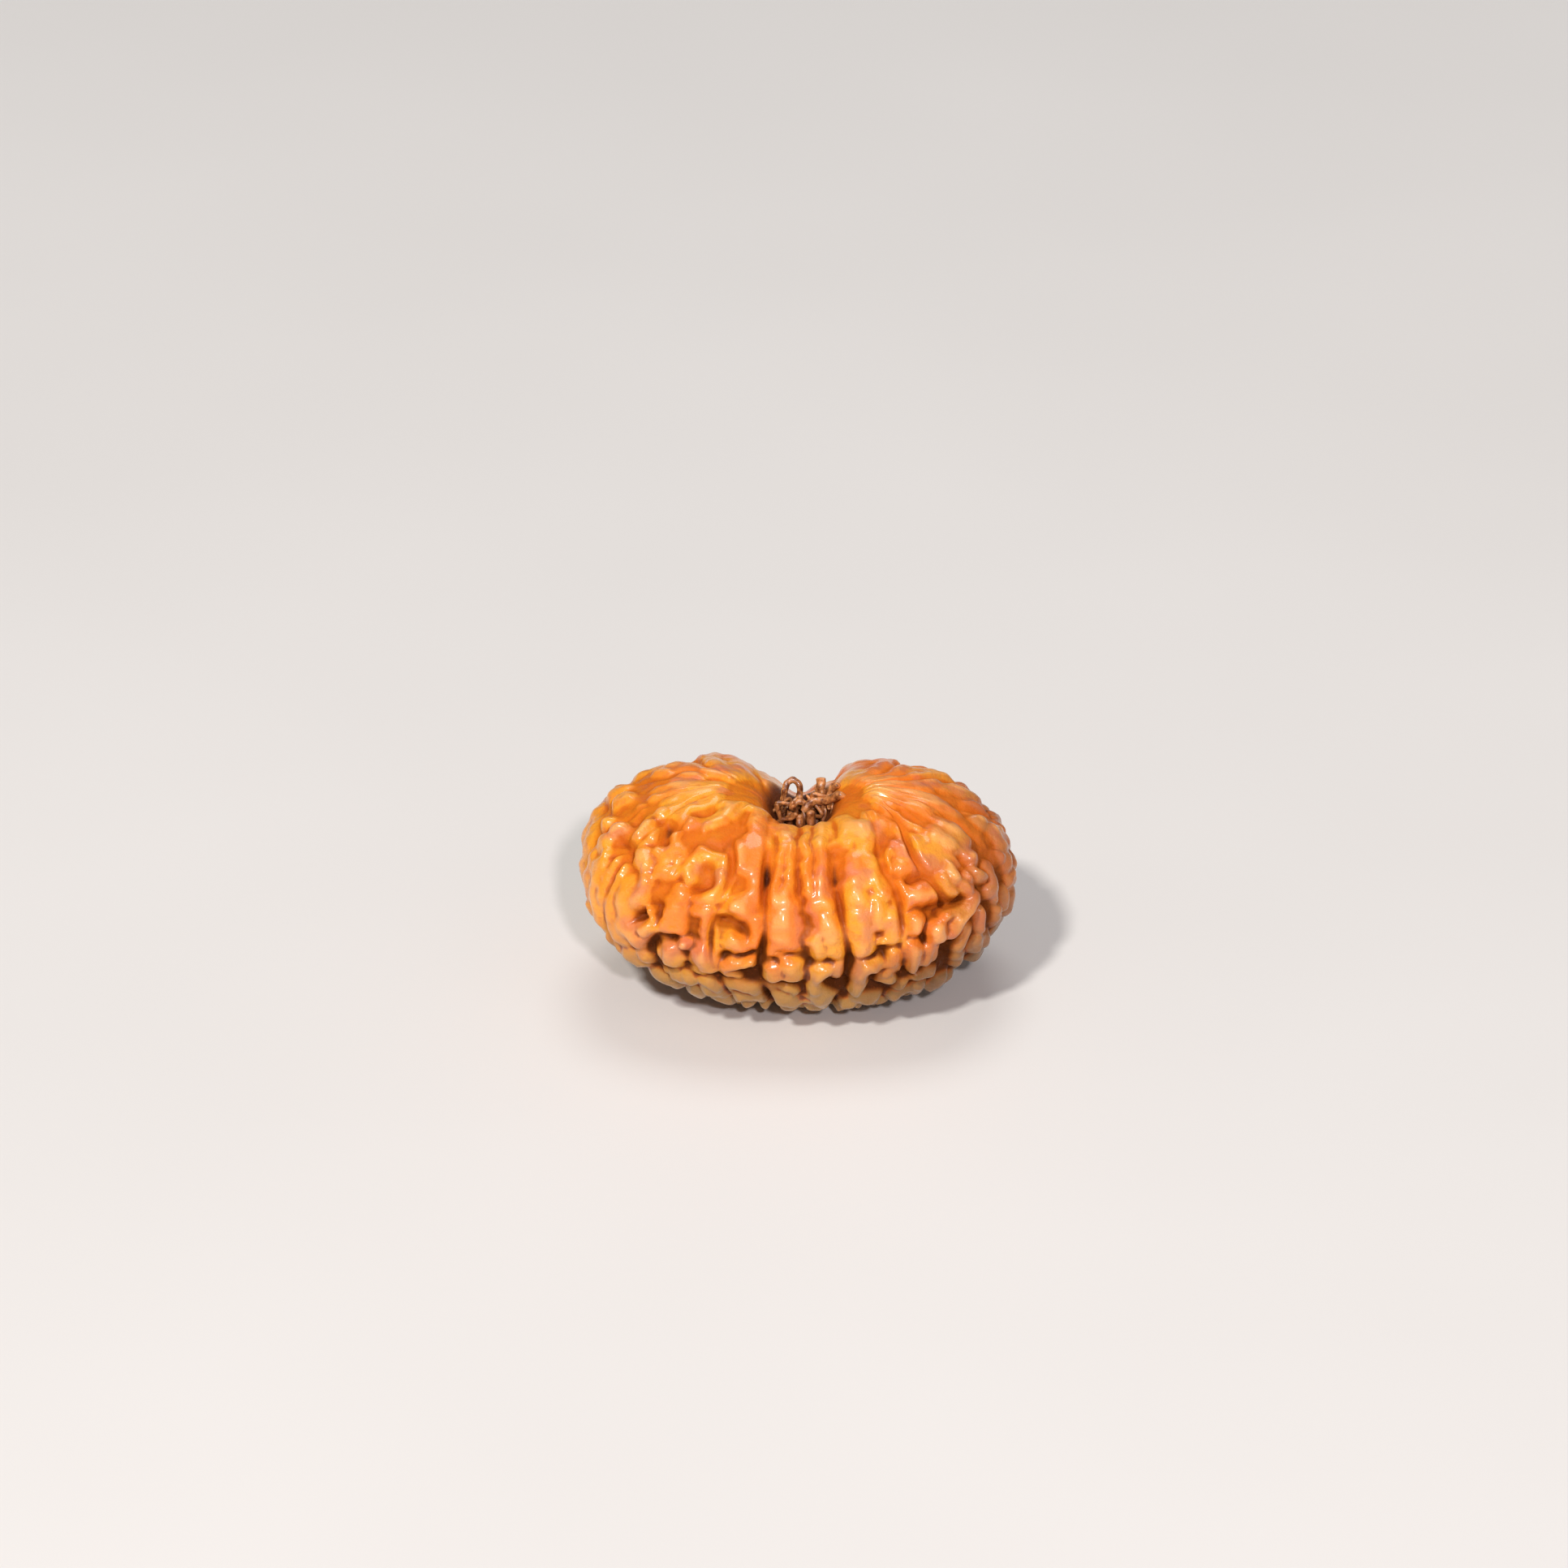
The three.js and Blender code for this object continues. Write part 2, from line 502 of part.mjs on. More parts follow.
// Ribs near the poles and knobs between them, in two columns on each face
function grownRidges() {
  const random = randomSeries(randomSeed);
  const found = [];
  const add = (west, south, east, north, half, drop) => {
    const longitude = (west + east) / 2;
    const wrapped = longitude > 180 ? longitude - 360 : longitude;
    if (!isVisibleArea(wrapped, (south + north) / 2)) found.push([west, south, east, north, half, drop]);
  };
  clefts.forEach(([west], index) => {
    const east = index + 1 < clefts.length ? clefts[index + 1][0] : clefts[0][0] + 360;
    for (const share of [0.27, 0.73]) {
      const middle = west + (east - west) * share;
      const ribHalf = 0.24 * (east - west) * widthPerDegree(middle, 60);
      add(middle, ribStart, middle, ribEnd, ribHalf, 0.1 * random());
      let latitude = knobStart + 3 * random();
      while (latitude < ribStart - 5) {
        const column = (east - west) * widthPerDegree(middle, latitude) / 2;
        const half = column * (0.44 + 0.12 * random());
        const length = 1 + 7 * random() ** 2;
        const lean = (random() - 0.5) * 3;
        const drop = 0.3 * random() ** 2;
        add(middle - lean, latitude + 3, middle + lean, latitude + 3 + length, half, drop);
        latitude += length + 4 + 5.5 * half;
      }
    }
    const lowerMiddle = west + (east - west) * (0.4 + 0.2 * random());
    const lowerHalf = 0.36 * (east - west) * widthPerDegree(lowerMiddle, -64);
    add(lowerMiddle, lowerRibStart, lowerMiddle, lowerRibEnd, lowerHalf, 0);
  });
  return found;
}

// Turns each row into points on the outer form, close enough together to follow its bend
function placed(list) {
  return list.map(([west, south, east, north, half, drop]) => {
    const count = Math.max(1, Math.ceil(Math.abs(north - south) / 6), Math.ceil(Math.abs(east - west) / 6));
    const points = [];
    for (let i = 0; i <= count; i++) {
      const share = i / count;
      points.push(outerForm(direction(west + (east - west) * share, south + (north - south) * share)));
    }
    const middle = points[0].clone().lerp(points[count], 0.5);
    const reach = 0.6 * points[0].distanceTo(points[count]);
    return { points, half, drop, middle, reach };
  });
}

function distanceToPath(p, points) {
  const segment = new THREE.Line3();
  const nearest = new THREE.Vector3();
  let least = Infinity;
  for (let i = 0; i + 1 < points.length; i++) {
    segment.set(points[i], points[i + 1]);
    const single = points[i].distanceToSquared(points[i + 1]) < 1e-8;
    const distance = single ? p.distanceTo(points[i]) : p.distanceTo(segment.closestPointToPoint(p, true, nearest));
    least = Math.min(least, distance);
  }
  return least;
}

function raise(height, p, ridges, floor) {
  let result = height;
  for (const { points, half, drop, middle, reach: pathReach } of ridges) {
    if (p.distanceTo(middle) > pathReach + half) continue;
    const reach = distanceToPath(p, points) / half;
    if (reach >= 1) continue;
    const rise = Math.min(floor - drop, steepest * half);
    result = smoothMax(result, -drop - rise + rise * (1 - reach * reach) ** crownRoundness, blend);
  }
  return result;
}

function cleftCentre(index, latitude) {
  const [middle, shift] = clefts[index % clefts.length];
  const turns = Math.floor(index / clefts.length) * 360;
  const wander = cleftWander * Math.sin(latitude / 9 + (index % clefts.length) * 2.1);
  return middle + turns + shift * smoothStep(25, 45, latitude) + wander;
}

function cleftCut(longitude, latitude) {
  const top = smoothStep(42, 58, latitude);
  const scale = widthPerDegree(longitude, latitude);
  const widest = cleftShareOfFace * scale * 360 / clefts.length;
  const halfWidth = Math.min(cleftHalfWidth + (topCleftHalfWidth - cleftHalfWidth) * top, widest);
  const depth = Math.min(cleftDepth + (topCleftDepth - cleftDepth) * top, cleftSteepness * halfWidth);
  let cut = Infinity;
  for (let index = 0; index < clefts.length; index++) {
    const turn = ((longitude - cleftCentre(index, latitude) + 540) % 360) - 180;
    const reach = Math.abs(turn) * scale / halfWidth;
    const share = clefts[index][2] * (1 + cleftUnevenness * (Math.sin(latitude / 6 + index * 1.3) - 1));
    if (reach < 1) cut = Math.min(cut, -depth * share * (1 - reach ** 1.6));
  }
  return cut;
}

// The greatest of the rounded dents or bumps at a point
function strongest(p, list) {
  const sizes = list.map(({ points, half, drop }) => drop * Math.exp(-((distanceToPath(p, points) / half) ** 2)));
  return Math.max(0, ...sizes);
}

function relief(d, p, ridges, bridges, pits, bumps) {
  const latitude = latitudeOf(d);
  const pit = Math.hypot((p.x - dipX) / pitHalfLength, p.y / pitHalfDepth);
  const outside = d.z > 0 ? smoothStep(0.55, 1.15, pit) : 1;
  const floor = lowFloorDepth + (topFloorDepth - lowFloorDepth) * smoothStep(0, 58, latitude);
  let height = raise(-floor, p, ridges, floor);
  height = Math.min(height, cleftCut(longitudeOf(d), latitude));
  height = raise(height, p, bridges, floor);
  const dent = strongest(p, pits);
  height -= Math.min(Math.max(dent + height, 0), dent);
  return (height + strongest(p, bumps)) * outside;
}

// Directions from the stone's middle in rows and columns, the columns following the clefts, and the
// triangles between them
function directionGrid() {
  const columns = clefts.length * columnShares.length;
  const directions = [new THREE.Vector3(0, 0, -1)];
  const triangles = [];
  for (let row = 1; row < rows; row++) {
    const latitude = -90 + 180 * row / rows;
    for (let index = 0; index < clefts.length; index++) {
      const west = cleftCentre(index, latitude);
      const east = cleftCentre(index + 1, latitude);
      for (const share of columnShares) directions.push(direction(west + (east - west) * share, latitude));
    }
  }
  directions.push(new THREE.Vector3(0, 0, 1));
  const top = directions.length - 1;
  const at = (row, column) => 1 + (row - 1) * columns + column % columns;
  for (let column = 0; column < columns; column++) {
    triangles.push(0, at(1, column + 1), at(1, column));
    for (let row = 1; row < rows - 1; row++) {
      triangles.push(at(row, column), at(row, column + 1), at(row + 1, column + 1));
      triangles.push(at(row, column), at(row + 1, column + 1), at(row + 1, column));
    }
    triangles.push(top, at(rows - 1, column), at(rows - 1, column + 1));
  }
  return { directions, triangles };
}

function stoneGeometry() {
  const { directions, triangles } = directionGrid();
  const bridges = placed(bridgingRidges);
  const pits = placed(visiblePits);
  const bumps = placed(visibleBumps);
  const ridges = placed([
    ...centreFaceRidges,
    ...rightInnerRidges,
    ...rightOuterRidges,
    ...leftInnerRidges,
    ...leftOuterRidges,
    ...grownRidges(),
  ]);
  const positions = directions.flatMap((d) => {
    const p = outerForm(d);
    const height = relief(d, p, ridges, bridges, pits, bumps);
    p.addScaledVector(outwards(d), height);
    return [p.x, p.y, Math.max(p.z, lowest)];
  });
  const geometry = new THREE.BufferGeometry();
  geometry.setAttribute('position', new THREE.Float32BufferAttribute(positions, 3));
  geometry.setIndex(triangles);
  return geometry;
}

function fibreGeometry({ half, points }) {
  const section = new THREE.Shape();
  for (let side = 0; side < fibreSides; side++) {
    const angle = side * 2 * Math.PI / fibreSides;
    const x = half * Math.cos(angle);
    const y = half * Math.sin(angle);
    if (side === 0) section.moveTo(x, y);
    else section.lineTo(x, y);
  }
  section.closePath();
  const path = new THREE.CatmullRomCurve3(points.map((point) => new THREE.Vector3(...point)));
  return new THREE.ExtrudeGeometry(section, { steps: fibreSteps, bevelEnabled: false, extrudePath: path });
}

function toSolid(wasm, geometry) {
  const bare = geometry.clone();
  bare.deleteAttribute('normal');
  bare.deleteAttribute('uv');
  const merged = mergeVertices(bare, 1e-4);
  return new wasm.Manifold(new wasm.Mesh({
    numProp: 3,
    vertProperties: new Float32Array(merged.attributes.position.array),
    triVerts: new Uint32Array(merged.index.array),
  }));
}

function toGeometry(solid) {
  const mesh = solid.getMesh();
  const geometry = new THREE.BufferGeometry();
  geometry.setAttribute('position', new THREE.BufferAttribute(new Float32Array(mesh.vertProperties), 3));
  geometry.setIndex(new THREE.BufferAttribute(new Uint32Array(mesh.triVerts), 1));
  return geometry;
}

function beadMesh(wasm) {
  let solid = toSolid(wasm, stoneGeometry());
  for (const fibre of fibres) solid = solid.add(toSolid(wasm, fibreGeometry(fibre)));
  const geometry = toGeometry(solid);
  geometry.computeBoundingBox();
  const middle = geometry.boundingBox.getCenter(new THREE.Vector3());
  geometry.translate(-middle.x, -middle.y, -lowest);
  geometry.computeVertexNormals();
  const material = new THREE.MeshStandardMaterial({ color: 0xc9762f, roughness: 0.42, metalness: 0 });
  const mesh = new THREE.Mesh(geometry, material);
  mesh.name = 'bead';
  return mesh;
}

const wasm = await Module();
wasm.setup();

const rudraksha = new THREE.Group();
rudraksha.add(beadMesh(wasm));

export default rudraksha;
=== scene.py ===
"""A rudraksha stone with seventeen faces on a pale studio floor.

The stone's surface is worked out again here from the same form, clefts, ridges and knobs as its solid, on
a much finer grid, and takes the place of that solid. The fibres in the pit are a piece of their own.
Places on the stone are a longitude and a latitude in degrees: longitude 0 is the middle of the front (-Y),
it grows towards +X, and latitude 90 is the top. Lengths are in millimetres until a mesh is made, and in
metres for the floor and the lights.
"""
import math

import bpy
import numpy as np
from mathutils import Matrix, Vector, noise


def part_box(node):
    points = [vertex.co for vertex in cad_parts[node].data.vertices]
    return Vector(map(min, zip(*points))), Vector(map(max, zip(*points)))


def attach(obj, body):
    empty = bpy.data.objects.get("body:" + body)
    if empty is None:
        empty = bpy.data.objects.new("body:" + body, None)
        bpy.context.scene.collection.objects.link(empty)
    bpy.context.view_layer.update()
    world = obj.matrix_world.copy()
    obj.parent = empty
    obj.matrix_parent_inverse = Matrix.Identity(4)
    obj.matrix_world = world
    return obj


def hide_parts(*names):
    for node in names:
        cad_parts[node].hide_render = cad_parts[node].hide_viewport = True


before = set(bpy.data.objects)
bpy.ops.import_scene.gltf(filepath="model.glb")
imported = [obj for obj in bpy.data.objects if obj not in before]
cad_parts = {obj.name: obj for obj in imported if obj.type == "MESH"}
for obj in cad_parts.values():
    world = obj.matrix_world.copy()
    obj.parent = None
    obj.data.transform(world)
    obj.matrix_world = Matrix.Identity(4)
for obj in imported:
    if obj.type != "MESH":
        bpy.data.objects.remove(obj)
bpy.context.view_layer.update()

# Driving dimensions of the outer form
HALF_LENGTH = 16.2
HALF_DEPTH = 11.9
HALF_HEIGHT = 8.25
SIDE_ROUNDNESS = 2.42
TOP_ROUNDNESS = 2.23
END_LIFT = 1.1
SIDE_TILT = 0.022

# The front and back faces widen towards the top, from the latitude with the first cosine, over this much of
# the cosine, at most this many times as far, and by this much
SPREAD_START = 0.8
SPREAD_RANGE = 0.5
SPREAD_LIMIT = 1.3
SPREAD_GAIN = 1.85

# The dip across the top, deeper at the back, and the pit at the stalk end. The dip has its full depth where
# a direction from the stone's middle points up by DIP_FULL_RISE
DIP_DEPTH = 2.0
DIP_SLOPE = 0.24
DIP_LEAST = 0.3
DIP_MOST = 3.8
DIP_HALF_WIDTH = 3.3
DIP_X = 0.2
DIP_FULL_RISE = 0.9
PIT_HALF_LENGTH = 2.3
PIT_HALF_DEPTH = 2.9
PIT_DEPTH = 3.4
LOWER_PIT_RADIUS = 1.3
LOWER_PIT_DEPTH = 1.2
FLAT_SPOT_RISE = 0.4
LOWEST = FLAT_SPOT_RISE - HALF_HEIGHT

# Relief: the floor between the ridges, which rises towards the top, and the ridges' sides and crowns. It
# fades out across the edge of the pit
LOW_FLOOR_DEPTH = 1.05
TOP_FLOOR_DEPTH = 0.4
FLOOR_LATITUDES = (0, 58)
PIT_EDGE = (0.55, 1.15)
STEEPEST = 1.5
BLEND = 0.24
CROWN_ROUNDNESS = 0.75
LOW_DOMING = 0.25
LOW_WIDENING = 0.18
LEAST_DENT_SHARE = 0.75

# A ridge's points lie at most this far from its middle, as a share of its length, and they are this many
# degrees apart. Dents and bumps fade out over this many half widths
FARTHEST_SHARE = 0.6
PATH_STEP = 6
FADE_REACH = 3

# Clefts: their size low down and at the top, and how they wander and vary in depth
CLEFT_HALF_WIDTH = 0.5
CLEFT_DEPTH = 1.15
TOP_CLEFT_HALF_WIDTH = 0.36
TOP_CLEFT_DEPTH = 0.38
CLEFT_SHARE_OF_FACE = 0.18
CLEFT_STEEPNESS = 2.8
CLEFT_CURVE = 1.6
CLEFT_TOP_LATITUDES = (42, 58)
CLEFT_SHIFT_LATITUDES = (25, 45)
CLEFT_WANDER = 0.7
CLEFT_WANDER_LATITUDE = 9
CLEFT_WANDER_TURN = 2.1
CLEFT_UNEVENNESS = 0.25
CLEFT_UNEVEN_LATITUDE = 6
CLEFT_UNEVEN_TURN = 1.3

# Uneven outlines and small lumps: the length in millimetres of each noise and how far it moves the surface
WARPS = [(1.5, 0.34), (0.6, 0.14)]
LUMPS = [(1.5, 0.14), (0.6, 0.05)]

# The vector noise starts from the time of day unless it is given a seed
NOISE_SEED = 17

# The painted shade in and behind the pit, and the share of its size over which it fades
PIT_SHADE_X = 3.6
PIT_SHADE_Y = 1.5
PIT_SHADE_LENGTH = 4.4
PIT_SHADE_EDGE = (0.45, 1.0)

# Small round grains all over the relief, weaker on the smooth ribs round the top, and coarse ones on the
# side that the photograph doesn't show
GRAIN_SIZE = 1.2
GRAIN_HEIGHT = 0.24
GRAIN_CROWN = 0.25
GRAIN_LEAST = -0.35
TOP_GRAIN_SHARE = 0.3
TOP_GRAIN_LATITUDES = (38, 56)
COARSE_GRAIN_SIZE = 2.3
COARSE_GRAIN_HEIGHT = 0.95

# Where the photograph's view ends: at the two far ends, at the back and underneath
HIDDEN_END_LONGITUDES = (76, 92)
HIDDEN_END_LATITUDES = (25, 45)
HIDDEN_BACK_LONGITUDES = (118, 134)
HIDDEN_BOTTOM_LATITUDES = (-60, -46)

# How many times the relief is averaged with its neighbours: once to soften its edges, and again to find the
# broad and the fine hollows that the colours follow
SOFTENING = 2
BROAD_SOFTENING = 24
FINE_SOFTENING = 6

# Fine mesh: rows from pole to pole and columns across each face
ROWS = 205
COLUMNS_PER_FACE = 28

# Ridges that the photograph shows: the longitude and latitude of one end, those of the other end, half the
# width, and how far the crown stays below the form
CENTRE_FACE_RIDGES = [
    (-4, 70, -4.5, 56, 0.5, 0.02),
    (-4.5, 56, -6.5, 42, 0.48, 0.02),
    (-6.5, 42, -7.2, 33, 0.45, 0.05),
    (-1.8, 71, -1.8, 54, 0.52, 0),
    (-1.8, 54, -3.2, 42, 0.52, 0.02),
    (-3.2, 42, -2.8, 34, 0.5, 0.05),
    (-7.4, 70, -8, 52, 0.4, 0.22),
    (-4.4, 27, -4, 7, 1.5, 0.02),
    (-7.6, -2, -7.6, 3, 0.5, 0.4),
    (-6.6, -8, -6.6, -15, 0.95, 0.02),
    (-1.4, -5, -1.4, -14, 1.0, 0.06),
    (-2.8, -24, -0.6, -27, 0.75, 0.25),
    (-7.2, -23, -7.2, -27, 0.6, 0.6),
    (-5, -35, -2, -36, 0.8, 0.3),
    (2.1, 71, 2.1, 52, 0.55, 0),
    (2.1, 52, 3.3, 34, 0.52, 0.02),
    (6.7, 70, 6.8, 50, 0.66, 0),
    (6.8, 50, 7.3, 34, 0.6, 0.03),
    (7.2, 26, 7.4, 18, 1.35, 0),
    (8.6, 18, 8.8, 11, 1.15, 0),
    (4.4, 12, 5, 1, 1.05, 0),
    (9.2, 4, 9.2, 2, 1.0, 0.12),
    (6.6, -8, 4.6, -12, 0.95, 0),
    (4.6, -12, 4.2, -25, 0.95, 0),
    (10.6, -5, 10.6, -14, 0.75, 0.35),
    (3.6, -33, 8, -34, 0.8, 0.25),
]

RIGHT_INNER_RIDGES = [
    (15.5, 47, 16.5, 43, 0.5, 0.4),
    (17, 38, 17.4, 28, 0.85, 0),
    (19.6, 47, 20.6, 36, 1.0, 0.08),
    (23, 53, 24.6, 44, 0.85, 0.04),
    (24.6, 44, 25.4, 31, 0.85, 0.04),
    (17, 26, 16.6, 14, 1.15, 0),
    (21.8, 27, 21.8, 17, 1.0, 0.05),
    (16.4, 9, 15.8, -1, 1.2, 0),
    (21.5, -8, 18, -8.5, 0.8, 0.02),
    (18, -8.5, 16.2, -14, 0.8, 0),
    (16.2, -14, 16.6, -26, 0.85, 0),
    (21.8, 7, 21.8, 7, 0.6, 0),
    (25, 17, 25, 7, 1.2, 0.1),
    (24.8, -2, 24.6, -9, 0.8, 0.3),
    (24, -13, 24, -15, 0.75, 0.4),
    (25.2, -21, 25.2, -22, 0.75, 0.15),
    (21.6, -17, 22, -20, 0.5, 0.55),
    (17.5, -34, 23, -34, 0.7, 0.3),
    (20.5, 61.5, 21.5, 58, 1.15, -0.08),
    (27.3, 64, 27.3, 64, 0.85, -0.05),
    (14, 66, 15, 61, 1.2, 0.02),
    (30, 61, 32, 55, 1.1, 0.25),
]

RIGHT_OUTER_RIDGES = [
    (38.4, 54.5, 38.4, 53, 0.6, -0.02),
    (34.4, 50, 34.4, 49.5, 0.56, -0.02),
    (31, 46.7, 31, 46.7, 0.6, -0.02),
    (28.9, 44.5, 28.9, 44.5, 0.5, 0),
    (28.8, 40.3, 28.8, 40.3, 0.6, -0.02),
    (30.6, 31.5, 30.6, 31.5, 0.6, -0.02),
    (38, 47, 35.4, 39, 1.15, 0.08),
    (42.5, 48, 41.5, 38, 0.95, 0.08),
    (29.6, 25.5, 33, 26.2, 0.9, 0.02),
    (33, 26.2, 40, 25.2, 0.85, 0.02),
    (32, 30, 40, 30, 0.4, 0.15),
    (40, 25, 44, 22.5, 0.6, 0.1),
    (31, 13.5, 31, 10.5, 0.95, -0.08),
    (30.2, -2, 29.8, -13, 1, -0.02),
    (35, -3, 34.8, -12, 0.7, 0.25),
    (37.6, -4, 37.6, -12, 0.55, 0.45),
    (34, -22, 38, -22, 0.8, 0.35),
    (29.5, -26, 29.5, -28, 0.7, 0.35),
    (32, -34, 37, -34, 0.8, 0.3),
    (48.2, 32.5, 48.8, 28, 0.7, -0.02),
    (45.2, 22.5, 45.2, 21.5, 0.7, -0.02),
    (43.8, 31, 44.4, 26, 0.75, 0.02),
    (50.5, 23, 51, 20, 0.75, 0.15),
    (47.4, 0, 45.6, -9, 0.75, 0.3),
    (46, -16, 47.5, -20, 0.85, 0.3),
    (53.5, 5, 53.2, -4, 0.7, 0.15),
    (52.5, -12, 54, -15, 0.9, 0.1),
    (50, 46, 47.4, 38, 1.05, 0.12),
    (53, 37, 53, 34, 0.75, 0.2),
    (40.5, 66, 43.5, 60, 0.5, 0),
    (43.5, 60, 49.5, 51, 0.5, 0),
    (48, 68, 54, 63, 0.55, 0),
    (61, 70, 62.5, 55, 0.8, 0),
    (69, 70, 69.5, 55, 0.75, 0),
    (66.5, 48, 65, 39, 1.15, 0),
    (60, 37, 61, 32, 0.95, 0.05),
    (54.5, 26, 59, 22.5, 0.7, -0.02),
    (65.5, 23, 62.5, 14, 0.85, 0.15),
    (60, 14, 62, 6, 0.7, 0.25),
    (75.8, 22, 75.8, 22, 0.8, 0),
    (70.8, 2, 70.6, -3, 0.8, 0.2),
    (64, -2, 64.6, -9, 0.8, 0.25),
    (58, -16, 60, -19, 0.9, 0.2),
    (78, 70, 80.5, 54, 0.8, 0),
    (87, 70, 88, 54, 0.8, 0),
    (82, 55, 83, 48, 1.2, 0),
    (86.5, 38, 86.5, 36, 0.8, -0.02),
    (97, 38, 96, 34, 1.15, 0),
    (86, 29, 84, 22, 1.0, 0),
    (99, 24, 99, 20, 1.1, 0),
    (108, 43, 108, 37, 1.15, 0),
    (101, 70, 104, 56, 0.9, 0),
    (112, 70, 112, 58, 0.9, 0),
    (112, 54, 113, 52, 0.9, -0.05),
    (121, 53, 127, 47, 1.5, -0.1),
    (111, 51, 108, 48, 0.8, 0.1),
]

LEFT_INNER_RIDGES = [
    (-13.6, 71, -14.2, 58, 1.4, 0.05),
    (-14.2, 58, -13.6, 45, 1.5, 0.05),
    (-19, 51, -19, 44, 0.95, 0.05),
    (-14.5, 40, -15, 31, 1.3, 0.1),
    (-16.3, 25, -16.3, 22, 1.25, -0.02),
    (-17.2, 7.5, -16.4, 4, 1.25, 0),
    (-12, 19, -11.8, 6, 0.8, 0.25),
    (-19, -9.5, -12, -5, 0.75, 0.08),
    (-19.2, -15, -16, -16, 0.65, 0.4),
    (-17.5, -25, -13, -27, 1, 0.3),
    (-19, -36, -13, -37, 0.8, 0.3),
    (-20, 71, -26, 66, 1.1, -0.02),
    (-26, 66, -31, 66, 1.0, 0),
    (-36.5, 54, -27.5, 60.8, 0.62, -0.02),
    (-37, 58.5, -31, 62.5, 0.5, 0.1),
    (-36, 44, -25, 45, 1.0, 0.08),
    (-34.5, 41, -31, 36, 0.9, 0.1),
    (-23, 38, -22.8, 35, 0.7, -0.02),
    (-26.9, 24, -22.6, 31.2, 0.75, -0.08),
    (-27.2, 18.4, -23.6, 20.6, 0.7, -0.02),
    (-24.8, 15, -24.4, 6, 1.1, 0.05),
    (-24.4, -1, -25.2, -12, 1.25, 0),
    (-26, -24, -22, -31, 0.7, 0.15),
    (-31, -24, -31, -26, 0.85, 0.15),
    (-28, -35, -23, -37, 0.8, 0.25),
    (-34.6, -7, -34.2, -13, 1.15, -0.02),
    (-30, -1, -30, -1, 0.5, 0.02),
    (-34, 16, -33, 6, 1.1, 0.1),
    (-33.5, 24, -33, 18, 0.95, 0.05),
    (-38.5, 37.8, -32.6, 32.6, 0.65, -0.08),
    (-35.8, -25, -34, -27, 0.9, 0.15),
]

LEFT_OUTER_RIDGES = [
    (-43, 31, -38.6, 31.8, 0.65, -0.02),
    (-48.3, 38, -48.3, 37.3, 0.65, 0),
    (-46.5, 47, -46.5, 46, 0.5, 0),
    (-43, 55, -42.5, 53, 0.6, 0),
    (-45, 43, -44, 36, 1.0, 0.12),
    (-60, 44, -59, 42.5, 1.15, -0.16),
    (-65, 51.8, -61, 50.6, 0.65, -0.02),
    (-81, 45.5, -80.5, 45, 0.65, 0),
    (-95.5, 40.5, -95, 39, 1.1, -0.05),
    (-71.8, 36, -71.2, 35.4, 0.9, -0.12),
    (-53.3, 34.5, -48.6, 30.7, 0.8, -0.08),
    (-82.5, 32, -82.5, 31, 0.8, 0),
    (-67.5, 26, -67.5, 25, 0.7, 0.02),
    (-58, 27.4, -57.8, 26.6, 0.7, 0.02),
    (-66, 17, -65, 0, 1.5, 0),
    (-65, 0, -62, -11, 1.4, 0.05),
    (-58, 20, -57.5, 4, 1.45, 0.05),
    (-57.5, 4, -54, -13, 1.4, 0.05),
    (-50, 19, -50, 8, 1.15, 0.05),
    (-50, 8, -50, -6, 1.15, 0.05),
    (-45.6, 25, -45, 13, 0.9, 0),
    (-40.4, 11.5, -40.4, 11.5, 0.5, 0.15),
    (-41.6, 0, -35.6, 10.5, 0.75, -0.12),
    (-46.4, -5, -45, -8, 1.2, 0.05),
    (-45, -19, -45, -21, 0.85, 0.15),
    (-51, -24, -50.5, -27, 1.2, 0.02),
    (-59, -21, -58, -25, 1.15, 0.02),
    (-72, 10, -71, -4, 1.2, 0.1),
    (-97, 69, -96, 52, 0.85, 0),
    (-86, 69, -86, 52, 0.8, 0.05),
    (-73, 69, -73.5, 55, 0.8, 0),
    (-63, 67, -64, 56, 0.8, 0.05),
    (-50, 67, -52.5, 54, 0.9, 0.05),
    (-119, 62, -118, 59, 0.95, -0.06),
    (-120, 51, -119, 49, 0.95, -0.02),
    (-132, 54, -130, 50, 1.3, 0),
    (-110, 36, -109, 32, 1.15, 0),
]

VISIBLE_RIDGES = (CENTRE_FACE_RIDGES + RIGHT_INNER_RIDGES + RIGHT_OUTER_RIDGES
                  + LEFT_INNER_RIDGES + LEFT_OUTER_RIDGES)

# Ridges that run across a cleft
BRIDGING_RIDGES = [
    (37.6, 6.5, 37.8, 3.5, 0.95, -0.1),
    (41.6, 2, 45, 7.5, 0.75, 0.05),
    (45, 7.5, 48.5, 12, 0.75, 0),
    (48.5, 12, 52, 14, 0.75, 0.02),
    (40.6, 12, 43, 13.6, 0.55, -0.02),
    (43, 13.6, 46.5, 13.2, 0.5, 0),
    (54.6, 46, 57, 41.5, 1.3, -0.05),
]

